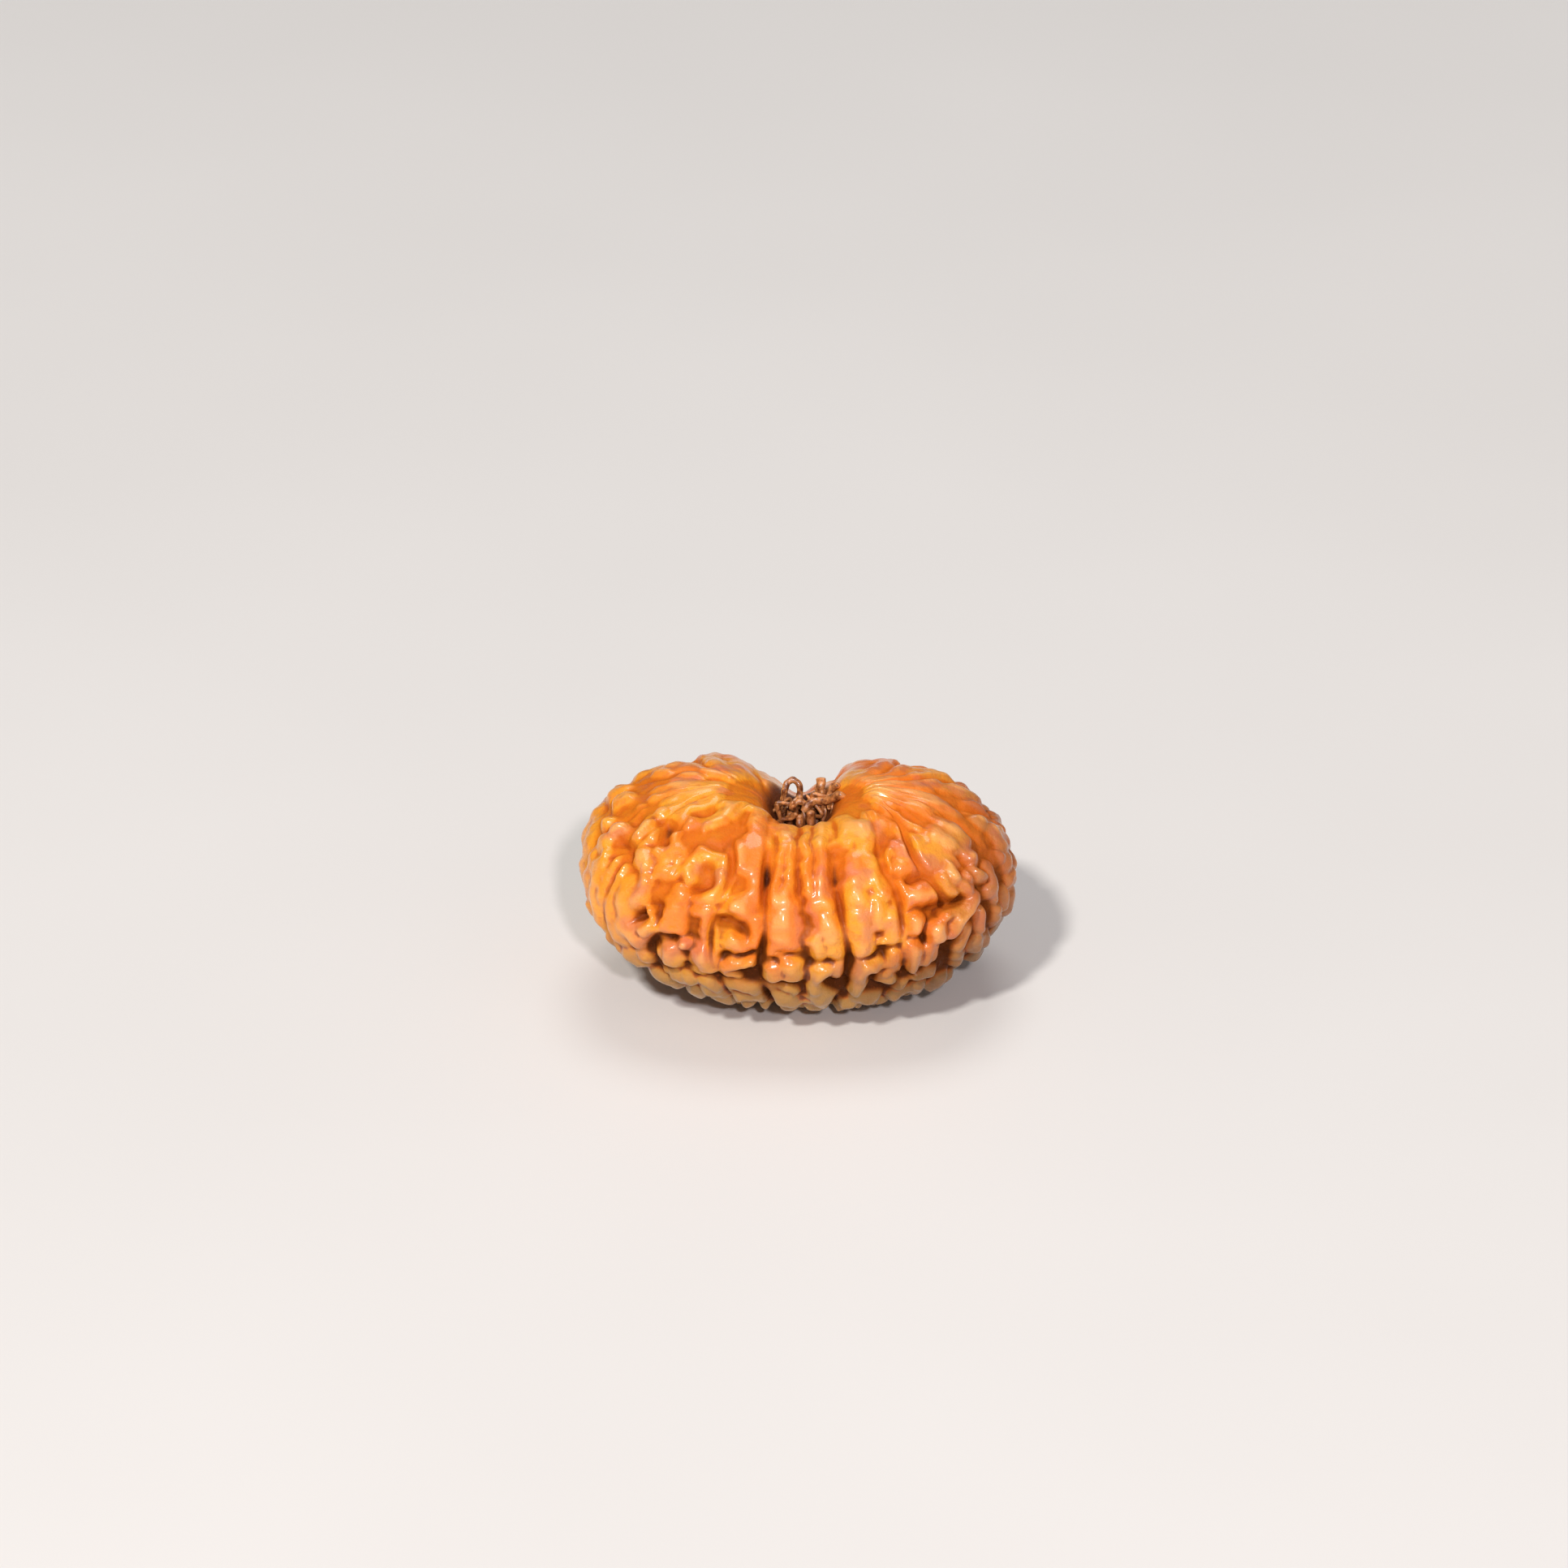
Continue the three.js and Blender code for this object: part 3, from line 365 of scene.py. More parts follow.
# Dents: the same places and half width, and the depth
VISIBLE_PITS = [
    (35, 33.5, 39, 33, 0.6, 0.8),
    (38.5, 15.2, 41.5, 18, 0.5, 0.8),
    (41.5, 18, 45.5, 16.5, 0.65, 1.0),
    (36.5, 19.5, 39.5, 19, 0.5, 0.8),
    (40.6, -5, 40.2, -13, 0.5, 0.85),
    (34.4, 8, 34.2, 3, 0.45, 0.5),
    (59.4, 6, 59.4, -2, 0.55, 0.8),
    (70.5, 31, 70, 28, 1.0, 0.7),
    (88, 45, 90, 43.5, 0.8, 0.6),
    (50, 58, 56, 56, 0.6, 0.4),
    (21.2, 12, 21.2, 12, 0.35, 0.6),
    (22.2, 2, 26, 0.6, 0.4, 0.5),
    (19.8, -15, 20, -18, 0.55, 0.7),
    (12.2, 52, 12.4, 40, 0.4, 0.5),
    (14, 47, 13.4, 41, 0.55, 0.5),
    (32.5, 53, 29.5, 49.5, 0.4, 0.45),
    (29.5, 49.5, 25.5, 48.5, 0.4, 0.45),
    (27.4, 42, 26.6, 34, 0.35, 0.4),
    (-17.4, 69, -17.4, 64.5, 0.42, 0.5),
    (-17.4, 64.5, -19.6, 56, 0.45, 0.65),
    (-19.6, 56, -24.5, 50, 0.45, 0.65),
    (-24.5, 50, -36, 46.8, 0.4, 0.5),
    (-30, 65, -38, 61.5, 0.35, 0.35),
    (-38, 61.5, -45, 57, 0.35, 0.3),
    (-29.5, 38.5, -28.4, 31.5, 0.6, 0.75),
    (-18.6, 36.5, -17.2, 33.5, 0.6, 0.6),
    (-19.5, 16, -14.5, 14.3, 0.6, 1.0),
    (-19.6, 11, -19.6, 8.5, 0.45, 0.4),
    (-18.8, -3, -13, -0.4, 0.35, 0.55),
    (-15, -11, -12.4, -10.4, 0.35, 0.5),
    (-26.9, 12.5, -26.5, 3, 0.5, 0.75),
    (-33, 1, -38, -6, 0.5, 0.8),
    (-38, -6, -41, -11.5, 0.45, 0.7),
    (-27.6, -14, -27.6, -14, 0.5, 0.7),
    (-36, -21.5, -36, -21.5, 0.4, 0.5),
    (-43.4, 9.5, -43.2, 7, 0.5, 0.7),
    (-38, 14, -37.4, 12, 0.65, 0.8),
    (-50.5, 20.5, -50.5, 19.5, 0.5, 0.35),
    (-62.3, 26, -61.6, 23, 0.42, 0.5),
    (-67, 34.5, -61.5, 33.5, 0.55, 0.7),
    (-61.5, 33.5, -57, 32.4, 0.5, 0.7),
    (-60.5, 48.5, -56, 48.5, 0.32, 0.5),
    (-56, 48.5, -52.4, 46.6, 0.38, 0.7),
    (-52.4, 46.6, -49.5, 43, 0.38, 0.6),
    (-73, 44.2, -72, 43, 0.45, 0.55),
    (-95.2, 39.4, -95, 39, 0.28, 0.5),
    (-6, 60, -7.6, 48, 0.3, 0.4),
    (-7.6, 48, -8.4, 39, 0.35, 0.45),
    (-3.2, 58, -4.8, 47, 0.26, 0.3),
    (-4.8, 47, -5.6, 39, 0.26, 0.3),
    (0.3, 69, 0.2, 54, 0.3, 0.4),
    (0.2, 54, -0.7, 41, 0.34, 0.45),
    (-0.7, 41, -0.7, 32, 0.34, 0.45),
    (4.3, 69, 4.4, 54, 0.28, 0.3),
    (4.4, 54, 5.3, 42, 0.28, 0.3),
    (1.4, 30, 2.6, 18, 0.36, 0.5),
    (2.6, 18, 2, 8, 0.3, 0.35),
    (-4.2, 2.4, -1.8, -1, 0.5, 0.65),
    (2.4, 4, 3, -5, 0.34, 0.6),
    (3, -5, 1.8, -20, 0.36, 0.6),
]

# Creases that part the low knobs from each other
LOW_CREASES = [
    (-30.5, -14.5, -21, -17.5, 0.35, 0.6),
    (-15, -13, -11.5, -15, 0.6, 0.6),
    (-8, -3.5, -5, -2.6, 0.36, 0.6),
    (-1.8, -1, 1.5, -2.5, 0.36, 0.6),
    (-4.5, -19.5, 0.5, -19.5, 0.5, 0.7),
    (1.8, -20, 1.8, -34, 0.45, 0.7),
    (3.5, -3.4, 9.5, -2.4, 0.34, 0.6),
    (14, -4.5, 20, -4, 0.36, 0.7),
    (7.5, -21, 12.5, -20, 0.55, 0.6),
    (20.5, -24.5, 26, -25, 0.5, 0.6),
    (22.2, -3, 22.4, -11, 0.42, 0.6),
    (28.5, -17, 33.5, -17.5, 0.38, 0.7),
]

# Bumps: the same places and half width, and the height
VISIBLE_BUMPS = [
    (-7.2, 29.3, -7.2, 29.3, 0.45, 0.22),
    (-2.6, 30.8, -2.6, 30.8, 0.42, 0.2),
    (3.2, 29.5, 3.2, 29.5, 0.42, 0.2),
    (7, 30, 7, 30, 0.42, 0.2),
    (-4.4, 19.5, -4.4, 19.5, 0.5, 0.14),
    (8.8, 13.2, 8.8, 13.2, 0.45, 0.12),
    (4, 9, 4, 8, 0.5, 0.1),
    (-16.3, 23, -16.3, 23, 0.55, 0.12),
    (-18, 8.5, -15.8, 7, 0.5, 0.12),
    (-23, 35.6, -23, 35.6, 0.45, 0.12),
    (-19, 49, -19, 49, 0.42, 0.12),
    (-39.4, 12, -39.4, 12, 0.34, 0.25),
    (-30, -1, -30, -1, 0.34, 0.22),
    (-24.6, -2, -24.6, -4, 0.5, 0.1),
    (-46.5, 46.5, -46.5, 46.5, 0.4, 0.14),
    (-48.4, 30.6, -48.4, 30.6, 0.42, 0.16),
    (-48.3, 37.5, -48.3, 37.5, 0.42, 0.12),
    (-71.4, 35.6, -71.4, 35.6, 0.5, 0.15),
    (-64, 51.4, -62, 50.8, 0.42, 0.14),
    (-59.6, 44, -59.6, 44, 0.5, 0.08),
    (-82.4, 31.5, -82.4, 31.5, 0.5, 0.15),
    (-120, 51, -120, 51, 0.5, 0.12),
    (-118.6, 60.5, -118.6, 60.5, 0.5, 0.12),
    (20.8, 60, 20.8, 60, 0.5, 0.14),
    (27.3, 64, 27.3, 64, 0.42, 0.12),
    (16.3, 54, 16.3, 54, 0.42, 0.28),
    (12.4, 36.5, 12.4, 36.5, 0.4, 0.3),
    (16.6, 31, 17, 27.5, 0.5, 0.08),
    (15.6, 48.4, 15.6, 48.4, 0.3, 0.2),
    (15, 45, 15, 45, 0.3, 0.22),
    (21.8, 7.2, 21.8, 7.2, 0.4, 0.12),
    (29.8, 15, 29.8, 15, 0.45, 0.1),
    (36.8, 7, 36.8, 7, 0.55, 0.12),
    (30.5, -4, 30.5, -4, 0.4, 0.1),
    (45.4, 22.2, 45.4, 22.2, 0.4, 0.14),
    (47.6, 31, 48.4, 28.4, 0.42, 0.12),
    (53.8, 46.4, 53.8, 46.4, 0.6, 0.08),
    (54.6, 41, 54.6, 41, 0.5, 0.1),
    (86.6, 37.6, 86.6, 37.6, 0.5, 0.14),
    (75.8, 22, 75.8, 22, 0.45, 0.14),
]

# Clefts between the seventeen faces: longitude, how far it moves towards the top, and share of the depth
CLEFTS = [
    (-142, 0, 1.0),
    (-113, 0, 1.0),
    (-80, 0, 0.9),
    (-58, 0, 0.7),
    (-38, 0, 0.6),
    (-22, 0, 0.8),
    (-9.5, 0, 1.25),
    (12.5, -1.2, 1.2),
    (28, 0, 0.85),
    (41, 0, 1.1),
    (56, 0, 0.9),
    (74, 0, 0.8),
    (95, 0, 1.0),
    (118, 0, 1.0),
    (143, 0, 1.0),
    (168, 0, 1.0),
    (193, 0, 1.0),
]

# The visible ridges fill these longitudes and latitudes, and ridges grown by rule fill the rest
VISIBLE_WEST = -68
VISIBLE_EAST = 77
VISIBLE_BOTTOM = -32
SHOULDER_WEST = -128
SHOULDER_EAST = 124
SHOULDER_BOTTOM = 29

# Ridges grown by rule, in columns at these shares of each face. Latitudes and lengths are in degrees, and
# half widths are shares of the face or of the column
RANDOM_SEED = 1717
COLUMN_SHARES = (0.27, 0.73)
RIB_START = 49
RIB_END = 71
RIB_LATITUDE = 60
RIB_HALF = 0.24
RIB_DROP = 0.1
KNOB_START = -54
KNOB_START_SPREAD = 3
KNOB_END = RIB_START - 5
KNOB_HALF = 0.44
KNOB_HALF_SPREAD = 0.12
KNOB_LENGTH = 1
KNOB_LENGTH_SPREAD = 7
KNOB_LEAN = 3
KNOB_DROP = 0.3
KNOB_FOOT = 3
KNOB_GAP = 4
KNOB_GAP_PER_HALF = 5.5
LOWER_RIB_START = -57
LOWER_RIB_END = -82
LOWER_RIB_LATITUDE = -64
LOWER_RIB_SHARE = 0.4
LOWER_RIB_SPREAD = 0.2
LOWER_RIB_HALF = 0.36

# The fibres that curl out of the pit: half width, then points from the stone's middle
FIBRES = [
    (0.24, [(-0.9, 1.4, 2.4), (-1.05, 2.4, 5.0), (-0.9, 3.0, 6.3), (-0.35, 3.2, 6.7), (0.15, 3.0, 6.2),
            (0.0, 2.4, 4.6)]),
    (0.34, [(1.3, 1.4, 2.4), (1.4, 2.6, 5.0), (1.7, 3.2, 6.3), (1.7, 3.4, 6.8)]),
    (0.3, [(0.2, 0.4, 2.4), (0.4, 1.0, 5.0), (1.2, 1.5, 5.9), (2.0, 1.3, 5.9), (2.7, 0.8, 6.5),
           (3.1, 0.4, 6.9), (3.5, 0.5, 6.6)]),
    (0.3, [(0.1, -0.6, 2.4), (0.2, -0.2, 4.2), (0.1, 0.2, 5.4)]),
    (0.3, [(0.9, -0.4, 2.4), (1.0, 0.0, 4.4), (0.9, 0.3, 5.7)]),
    (0.26, [(1.6, 0.6, 2.4), (2.0, 1.8, 5.0), (2.5, 2.3, 6.4), (3.0, 2.0, 6.9)]),
    (0.26, [(-0.5, 0.8, 2.4), (-0.6, 1.4, 4.6), (-0.1, 1.7, 5.6), (0.6, 1.6, 5.4), (1.1, 1.0, 4.2)]),
]

# A fibre's mesh: rings along it, sides around it, rings in each rounded tip, and its lumps
FIBRE_RINGS = 48
FIBRE_SIDES = 14
TIP_RINGS = 4
TIP_LEAST = 0.02
LUMPINESS = 0.45
LUMPS_ALONG = 1.7
LUMPS_AROUND = 0.5
LUMP_SEED_STEP = 7.3

# Thin strands tangled between those fibres
STRAND_COUNT = 16
STRAND_SEED = 43
STRAND_HALF = 0.14
STRAND_LEAST_HALF = 0.7
STRAND_HALF_SPREAD = 0.6
STRAND_TURNS = 4
STRAND_X = 0.9
STRAND_Y = 1.6
STRAND_SPREAD_X = 3.6
STRAND_SPREAD_Y = 2.4
STRAND_TURN = 1.7
STRAND_FOOT = 2.6
STRAND_FOOT_AHEAD = 1.0
STRAND_LOW = 4.2
STRAND_HIGH = 6.4

MM = 0.001

# Photograph: its size in pixels, the view onto the stone, and where the stone's middle lies in it
PHOTO_SIZE = 1932
VIEW_ELEVATION = math.radians(28)
VIEW_DISTANCE = 520.0
STONE_WIDTH_PIXELS = 534
STONE_WIDTH = 32.0
MIDDLE_X_PIXEL = 983
MIDDLE_Y_PIXEL = 1085
SENSOR_WIDTH = 36.0

# Lights: diameter in metres, power in watts, place in metres, and colour
LIGHT_TARGET = (0, 0, 0.008)
LIGHTS = {
    "key_light": (0.11, 6.7, (-0.31, -0.59, 0.76), (1.0, 0.97, 0.94)),
    "fill_light": (0.66, 0.5, (0.66, -0.48, 0.34), (1.0, 0.98, 0.96)),
    "top_light": (0.44, 1.85, (0.04, 0.35, 0.78), (1.0, 1.0, 1.0)),
    "glint_light": (0.06, 3.7, (0.11, -0.73, 0.52), (1.0, 0.92, 0.95)),
}
WORLD_COLOUR = (0.92, 0.94, 1.0)
WORLD_STRENGTH = 0.15
FLOOR_HALF = 3.0


def smooth_step(low, high, value):
    t = np.clip((value - low) / (high - low), 0, 1)
    return t * t * (3 - 2 * t)


def smooth_max(a, b, width):
    near = np.maximum(width - np.abs(a - b), 0)
    return np.maximum(a, b) + near * near / (4 * width)


def face_spread(latitude):
    """How much wider the faces at the front and back grow towards the top."""
    t = np.clip((SPREAD_START - np.cos(np.radians(latitude))) / SPREAD_RANGE, 0, SPREAD_LIMIT)
    return np.where(latitude < 0, 1, 1 + SPREAD_GAIN * t * t)


def direction(longitude, latitude):
    """The direction from the stone's middle to a place on it."""
    longitude = np.radians(longitude)
    side = np.sin(longitude) * face_spread(latitude)
    ahead = np.cos(longitude)
    flat = np.cos(np.radians(latitude)) / np.hypot(side, ahead)
    return np.stack([side * flat, -ahead * flat, np.sin(np.radians(latitude)) + 0 * flat], -1)


def rounded_box(d):
    """The form without its dip and pit, in the directions d from its middle."""
    x, y, z = np.abs(d[..., 0]), np.abs(d[..., 1]), np.abs(d[..., 2])
    reach = (x ** SIDE_ROUNDNESS + y ** SIDE_ROUNDNESS + z ** TOP_ROUNDNESS) ** (-1 / SIDE_ROUNDNESS)
    p = d * np.array([HALF_LENGTH, HALF_DEPTH, HALF_HEIGHT]) * reach[..., None]
    p[..., 2] += END_LIFT * (p[..., 0] / HALF_LENGTH) ** 2 - SIDE_TILT * p[..., 0]
    return p


def pit_reach(p):
    """Distance from the middle of the pit, where 1 is about its edge."""
    return np.hypot((p[..., 0] - DIP_X) / PIT_HALF_LENGTH, p[..., 1] / PIT_HALF_DEPTH)


def outer_form(d):
    """The form with its dip and pit, but without relief, in the directions d."""
    p = rounded_box(d)
    x, y = p[..., 0], p[..., 1]
    dip = np.clip(DIP_DEPTH + DIP_SLOPE * y, DIP_LEAST, DIP_MOST)
    dip = dip * np.exp(-((x - DIP_X) / DIP_HALF_WIDTH) ** 2) * smooth_step(0, DIP_FULL_RISE, d[..., 2])
    pit = PIT_DEPTH * np.exp(-pit_reach(p) ** 4) * (d[..., 2] > 0)
    lower_pit = LOWER_PIT_DEPTH * np.exp(-(np.hypot(x, y) / LOWER_PIT_RADIUS) ** 2) * (d[..., 2] < 0)
    p[..., 2] += lower_pit - dip - pit
    return p


def normalised(v):
    return v / np.linalg.norm(v, axis=-1, keepdims=True)


def outwards(d):
    """The direction in which the relief stands out from the form."""
    step = 0.002
    side = normalised(np.cross(np.array([0.3, 0.5, 0.81]), d))
    up = np.cross(d, side)
    along = rounded_box(normalised(d + step * side)) - rounded_box(normalised(d - step * side))
    across = rounded_box(normalised(d + step * up)) - rounded_box(normalised(d - step * up))
    return normalised(np.cross(along, across))


def width_per_degree(longitude, latitude):
    """How many millimetres one degree of longitude is wide."""
    east = outer_form(direction(longitude + 1, latitude))
    west = outer_form(direction(longitude - 1, latitude))
    return np.linalg.norm(east - west, axis=-1) / 2


def random_series(seed):
    """A seeded series of numbers between 0 and 1, the same in every language."""
    state = seed
    while True:
        state = (state * 16807) % 2147483647
        yield state / 2147483647


def is_visible_area(longitude, latitude):
    front = latitude > VISIBLE_BOTTOM and VISIBLE_WEST < longitude < VISIBLE_EAST
    shoulder = latitude > SHOULDER_BOTTOM and SHOULDER_WEST < longitude < SHOULDER_EAST
    return front or shoulder


def grown_ridges():
    """Ribs near the poles and knobs between them, in two columns on each face."""
    series = random_series(RANDOM_SEED)
    found = []

    def add(west, south, east, north, half, drop):
        longitude = (west + east) / 2
        wrapped = longitude - 360 if longitude > 180 else longitude
        if not is_visible_area(wrapped, (south + north) / 2):
            found.append((west, south, east, north, half, drop))

    for index, (west, _, _) in enumerate(CLEFTS):
        east = CLEFTS[index + 1][0] if index + 1 < len(CLEFTS) else CLEFTS[0][0] + 360
        for share in COLUMN_SHARES:
            middle = west + (east - west) * share
            rib_half = RIB_HALF * (east - west) * float(width_per_degree(middle, RIB_LATITUDE))
            add(middle, RIB_START, middle, RIB_END, rib_half, RIB_DROP * next(series))
            latitude = KNOB_START + KNOB_START_SPREAD * next(series)
            while latitude < KNOB_END:
                column = (east - west) * float(width_per_degree(middle, latitude)) / 2
                half = column * (KNOB_HALF + KNOB_HALF_SPREAD * next(series))
                length = KNOB_LENGTH + KNOB_LENGTH_SPREAD * next(series) ** 2
                lean = (next(series) - 0.5) * KNOB_LEAN
                drop = KNOB_DROP * next(series) ** 2
                foot = latitude + KNOB_FOOT
                add(middle - lean, foot, middle + lean, foot + length, half, drop)
                latitude += length + KNOB_GAP + KNOB_GAP_PER_HALF * half
        lower_middle = west + (east - west) * (LOWER_RIB_SHARE + LOWER_RIB_SPREAD * next(series))
        lower_width = (east - west) * float(width_per_degree(lower_middle, LOWER_RIB_LATITUDE))
        add(lower_middle, LOWER_RIB_START, lower_middle, LOWER_RIB_END, LOWER_RIB_HALF * lower_width, 0)
    return found


def placed(rows):
    """Each row as points on the outer form, close enough together to follow its bend."""
    found = []
    for west, south, east, north, half, drop in rows:
        count = max(1, math.ceil(abs(north - south) / PATH_STEP), math.ceil(abs(east - west) / PATH_STEP))
        share = np.arange(count + 1) / count
        points = outer_form(direction(west + (east - west) * share, south + (north - south) * share))
        found.append((points, half, drop))
    return found


def distance_to_path(p, points):
    least = np.full(len(p), np.inf)
    for a, b in zip(points[:-1], points[1:]):
        along = b - a
        share = np.clip((p - a) @ along / max(along @ along, 1e-9), 0, 1)
        least = np.minimum(least, np.linalg.norm(p - a - share[:, None] * along, axis=1))
    return least


def near(p, points, reach):
    """Which of the points p may lie within reach of the path through points."""
    middle = (points[0] + points[-1]) / 2
    radius = FARTHEST_SHARE * np.linalg.norm(points[-1] - points[0]) + reach
    return np.nonzero(((p - middle) ** 2).sum(1) < radius * radius)[0]


def raise_ridges(height, p, ridges, floor):
    """Raises the surface to every ridge; low ridges are a little wider and more domed than high ones."""
    low = (floor - TOP_FLOOR_DEPTH) / (LOW_FLOOR_DEPTH - TOP_FLOOR_DEPTH)
    for points, half, drop in ridges:
        some = near(p, points, half * (1 + LOW_WIDENING))
        reach = distance_to_path(p[some], points) / (half * (1 + LOW_WIDENING * low[some]))
        some, reach = some[reach < 1], reach[reach < 1]
        rise = np.minimum(floor[some] - drop, STEEPEST * half)
        crown = -drop - rise + rise * (1 - reach * reach) ** (CROWN_ROUNDNESS + LOW_DOMING * low[some])
        height[some] = smooth_max(height[some], crown, BLEND)


def cleft_centre(index, latitude):
    middle, shift, _ = CLEFTS[index % len(CLEFTS)]
    turns = index // len(CLEFTS) * 360
    phase = (index % len(CLEFTS)) * CLEFT_WANDER_TURN
    wander = CLEFT_WANDER * np.sin(latitude / CLEFT_WANDER_LATITUDE + phase)
    return middle + turns + shift * smooth_step(*CLEFT_SHIFT_LATITUDES, latitude) + wander


def cleft_cut(longitude, latitude):
    """How far the clefts cut the relief down, and infinity where there is no cleft."""
    top = smooth_step(*CLEFT_TOP_LATITUDES, latitude)
    scale = width_per_degree(longitude, latitude)
    widest = CLEFT_SHARE_OF_FACE * scale * 360 / len(CLEFTS)
    half_width = np.minimum(CLEFT_HALF_WIDTH + (TOP_CLEFT_HALF_WIDTH - CLEFT_HALF_WIDTH) * top, widest)
    depth = np.minimum(CLEFT_DEPTH + (TOP_CLEFT_DEPTH - CLEFT_DEPTH) * top, CLEFT_STEEPNESS * half_width)
    cut = np.full(len(longitude), np.inf)
    for index in range(len(CLEFTS)):
        turn = (longitude - cleft_centre(index, latitude) + 540) % 360 - 180
        reach = np.abs(turn) * scale / half_width
        wave = np.sin(latitude / CLEFT_UNEVEN_LATITUDE + index * CLEFT_UNEVEN_TURN)
        share = CLEFTS[index][2] * (1 + CLEFT_UNEVENNESS * (wave - 1))
        inside = -depth * share * (1 - np.minimum(reach, 1) ** CLEFT_CURVE)
        cut = np.where(reach < 1, np.minimum(cut, inside), cut)
    return cut


def vector_noise(p, bands):
    """The sum of smooth vector noises, each with its own length and size."""
    noise.seed_set(NOISE_SEED)
    moved = np.zeros_like(p)
    for length, size in bands:
        points = (p / length).tolist()
        moved += size * np.array([noise.noise_vector(Vector(point)) for point in points])
    return moved


def cobbles(p, size):
    """Rounded cells of the given size, high on their crowns and low between them."""
    nearest = np.array([noise.voronoi(Vector(point))[0][0] for point in (p / size).tolist()])
    return np.maximum(GRAIN_CROWN - nearest ** 2, GRAIN_LEAST)


def hidden_share(longitude, latitude):
    """0 where the photograph shows the stone, 1 well beyond."""
    turn = np.abs((longitude + 180) % 360 - 180)
    ends = smooth_step(*HIDDEN_END_LONGITUDES, turn) * (1 - smooth_step(*HIDDEN_END_LATITUDES, latitude))
    back = smooth_step(*HIDDEN_BACK_LONGITUDES, turn)
    bottom = 1 - smooth_step(*HIDDEN_BOTTOM_LATITUDES, latitude)
    return np.maximum(ends, np.maximum(back, bottom))


def grains(p, longitude, latitude):
    """Small round grains everywhere, and coarse ones where the photograph shows nothing."""
    fine = GRAIN_HEIGHT * cobbles(p, GRAIN_SIZE)
    coarse = COARSE_GRAIN_HEIGHT * cobbles(p, COARSE_GRAIN_SIZE) * hidden_share(longitude, latitude)
    return (fine + coarse) * (1 - (1 - TOP_GRAIN_SHARE) * smooth_step(*TOP_GRAIN_LATITUDES, latitude))


def strongest(p, rows):
    """The greatest of the rounded dents or bumps at each point."""
    found = np.zeros(len(p))
    for points, half, size in placed(rows):
        some = near(p, points, FADE_REACH * half)
        here = size * np.exp(-(distance_to_path(p[some], points) / half) ** 2)
        found[some] = np.maximum(found[some], here)
    return found


def floor_depth(latitude):
    return LOW_FLOOR_DEPTH + (TOP_FLOOR_DEPTH - LOW_FLOOR_DEPTH) * smooth_step(*FLOOR_LATITUDES, latitude)


def relief(longitude, latitude, d, p):
    """How far the surface stands out from the points p of the outer form."""
    outside = np.where(d[:, 2] > 0, smooth_step(*PIT_EDGE, pit_reach(p)), 1)
    floor = floor_depth(latitude)
    lumps = vector_noise(p, LUMPS)[:, 0]
    p = p + vector_noise(p, WARPS)
    height = -floor
    raise_ridges(height, p, placed(VISIBLE_RIDGES + grown_ridges()), floor)
    height = np.minimum(height, cleft_cut(longitude, latitude))
    raise_ridges(height, p, placed(BRIDGING_RIDGES), floor)
    dent = strongest(p, VISIBLE_PITS + LOW_CREASES)
    height -= np.clip(dent + height, LEAST_DENT_SHARE * dent, dent)
    return (height + strongest(p, VISIBLE_BUMPS) + lumps + grains(p, longitude, latitude)) * outside


def stone_grid():
    """Longitudes and latitudes in rows and columns, the columns following the clefts."""
    latitude = -90 + 180 * np.arange(1, ROWS) / ROWS
    columns = []
    for index in range(len(CLEFTS)):
        west = cleft_centre(index, latitude)
        east = cleft_centre(index + 1, latitude)
        for step in range(COLUMNS_PER_FACE):
            columns.append(west + (east - west) * step / COLUMNS_PER_FACE)
    longitude = np.stack(columns, 1)
    return longitude, np.repeat(latitude[:, None], longitude.shape[1], 1)


def smoothed(field, times):
    """A field on the grid, averaged with its neighbours a number of times."""
    for _ in range(times):
        across = (np.roll(field, 1, 1) + np.roll(field, -1, 1)) / 2
        padded = np.concatenate([field[:1], field, field[-1:]])
        along = (padded[:-2] + padded[2:]) / 2
        field = (2 * field + across + along) / 4
    return field


def make_piece(name, points, faces):
    """A smooth object of points in millimetres, moved from the stone's own middle to its solid's."""
    lowest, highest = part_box("bead")
    shift = np.array([(lowest[0] + highest[0]) / 2, (lowest[1] + highest[1]) / 2, 0])
    mesh = bpy.data.meshes.new(name + "_surface")
    mesh.from_pydata((points * MM + shift).tolist(), [], faces)
    mesh.shade_smooth()
    piece = bpy.data.objects.new(name, mesh)
    bpy.context.collection.objects.link(piece)
    return piece


def grid_faces(rows, columns):
    """Faces round the rows of a grid, closed by a point at the bottom and one at the top."""
    index = np.arange(rows * columns).reshape(rows, columns)
    east = np.roll(index, -1, 1)
    quads = np.stack([index[:-1], east[:-1], east[1:], index[1:]], -1).reshape(-1, 4)
    low, high = rows * columns, rows * columns + 1
    faces = quads.tolist()
    faces += [(low, b, a) for a, b in zip(index[0].tolist(), east[0].tolist())]
    faces += [(high, a, b) for a, b in zip(index[-1].tolist(), east[-1].tolist())]
    return faces


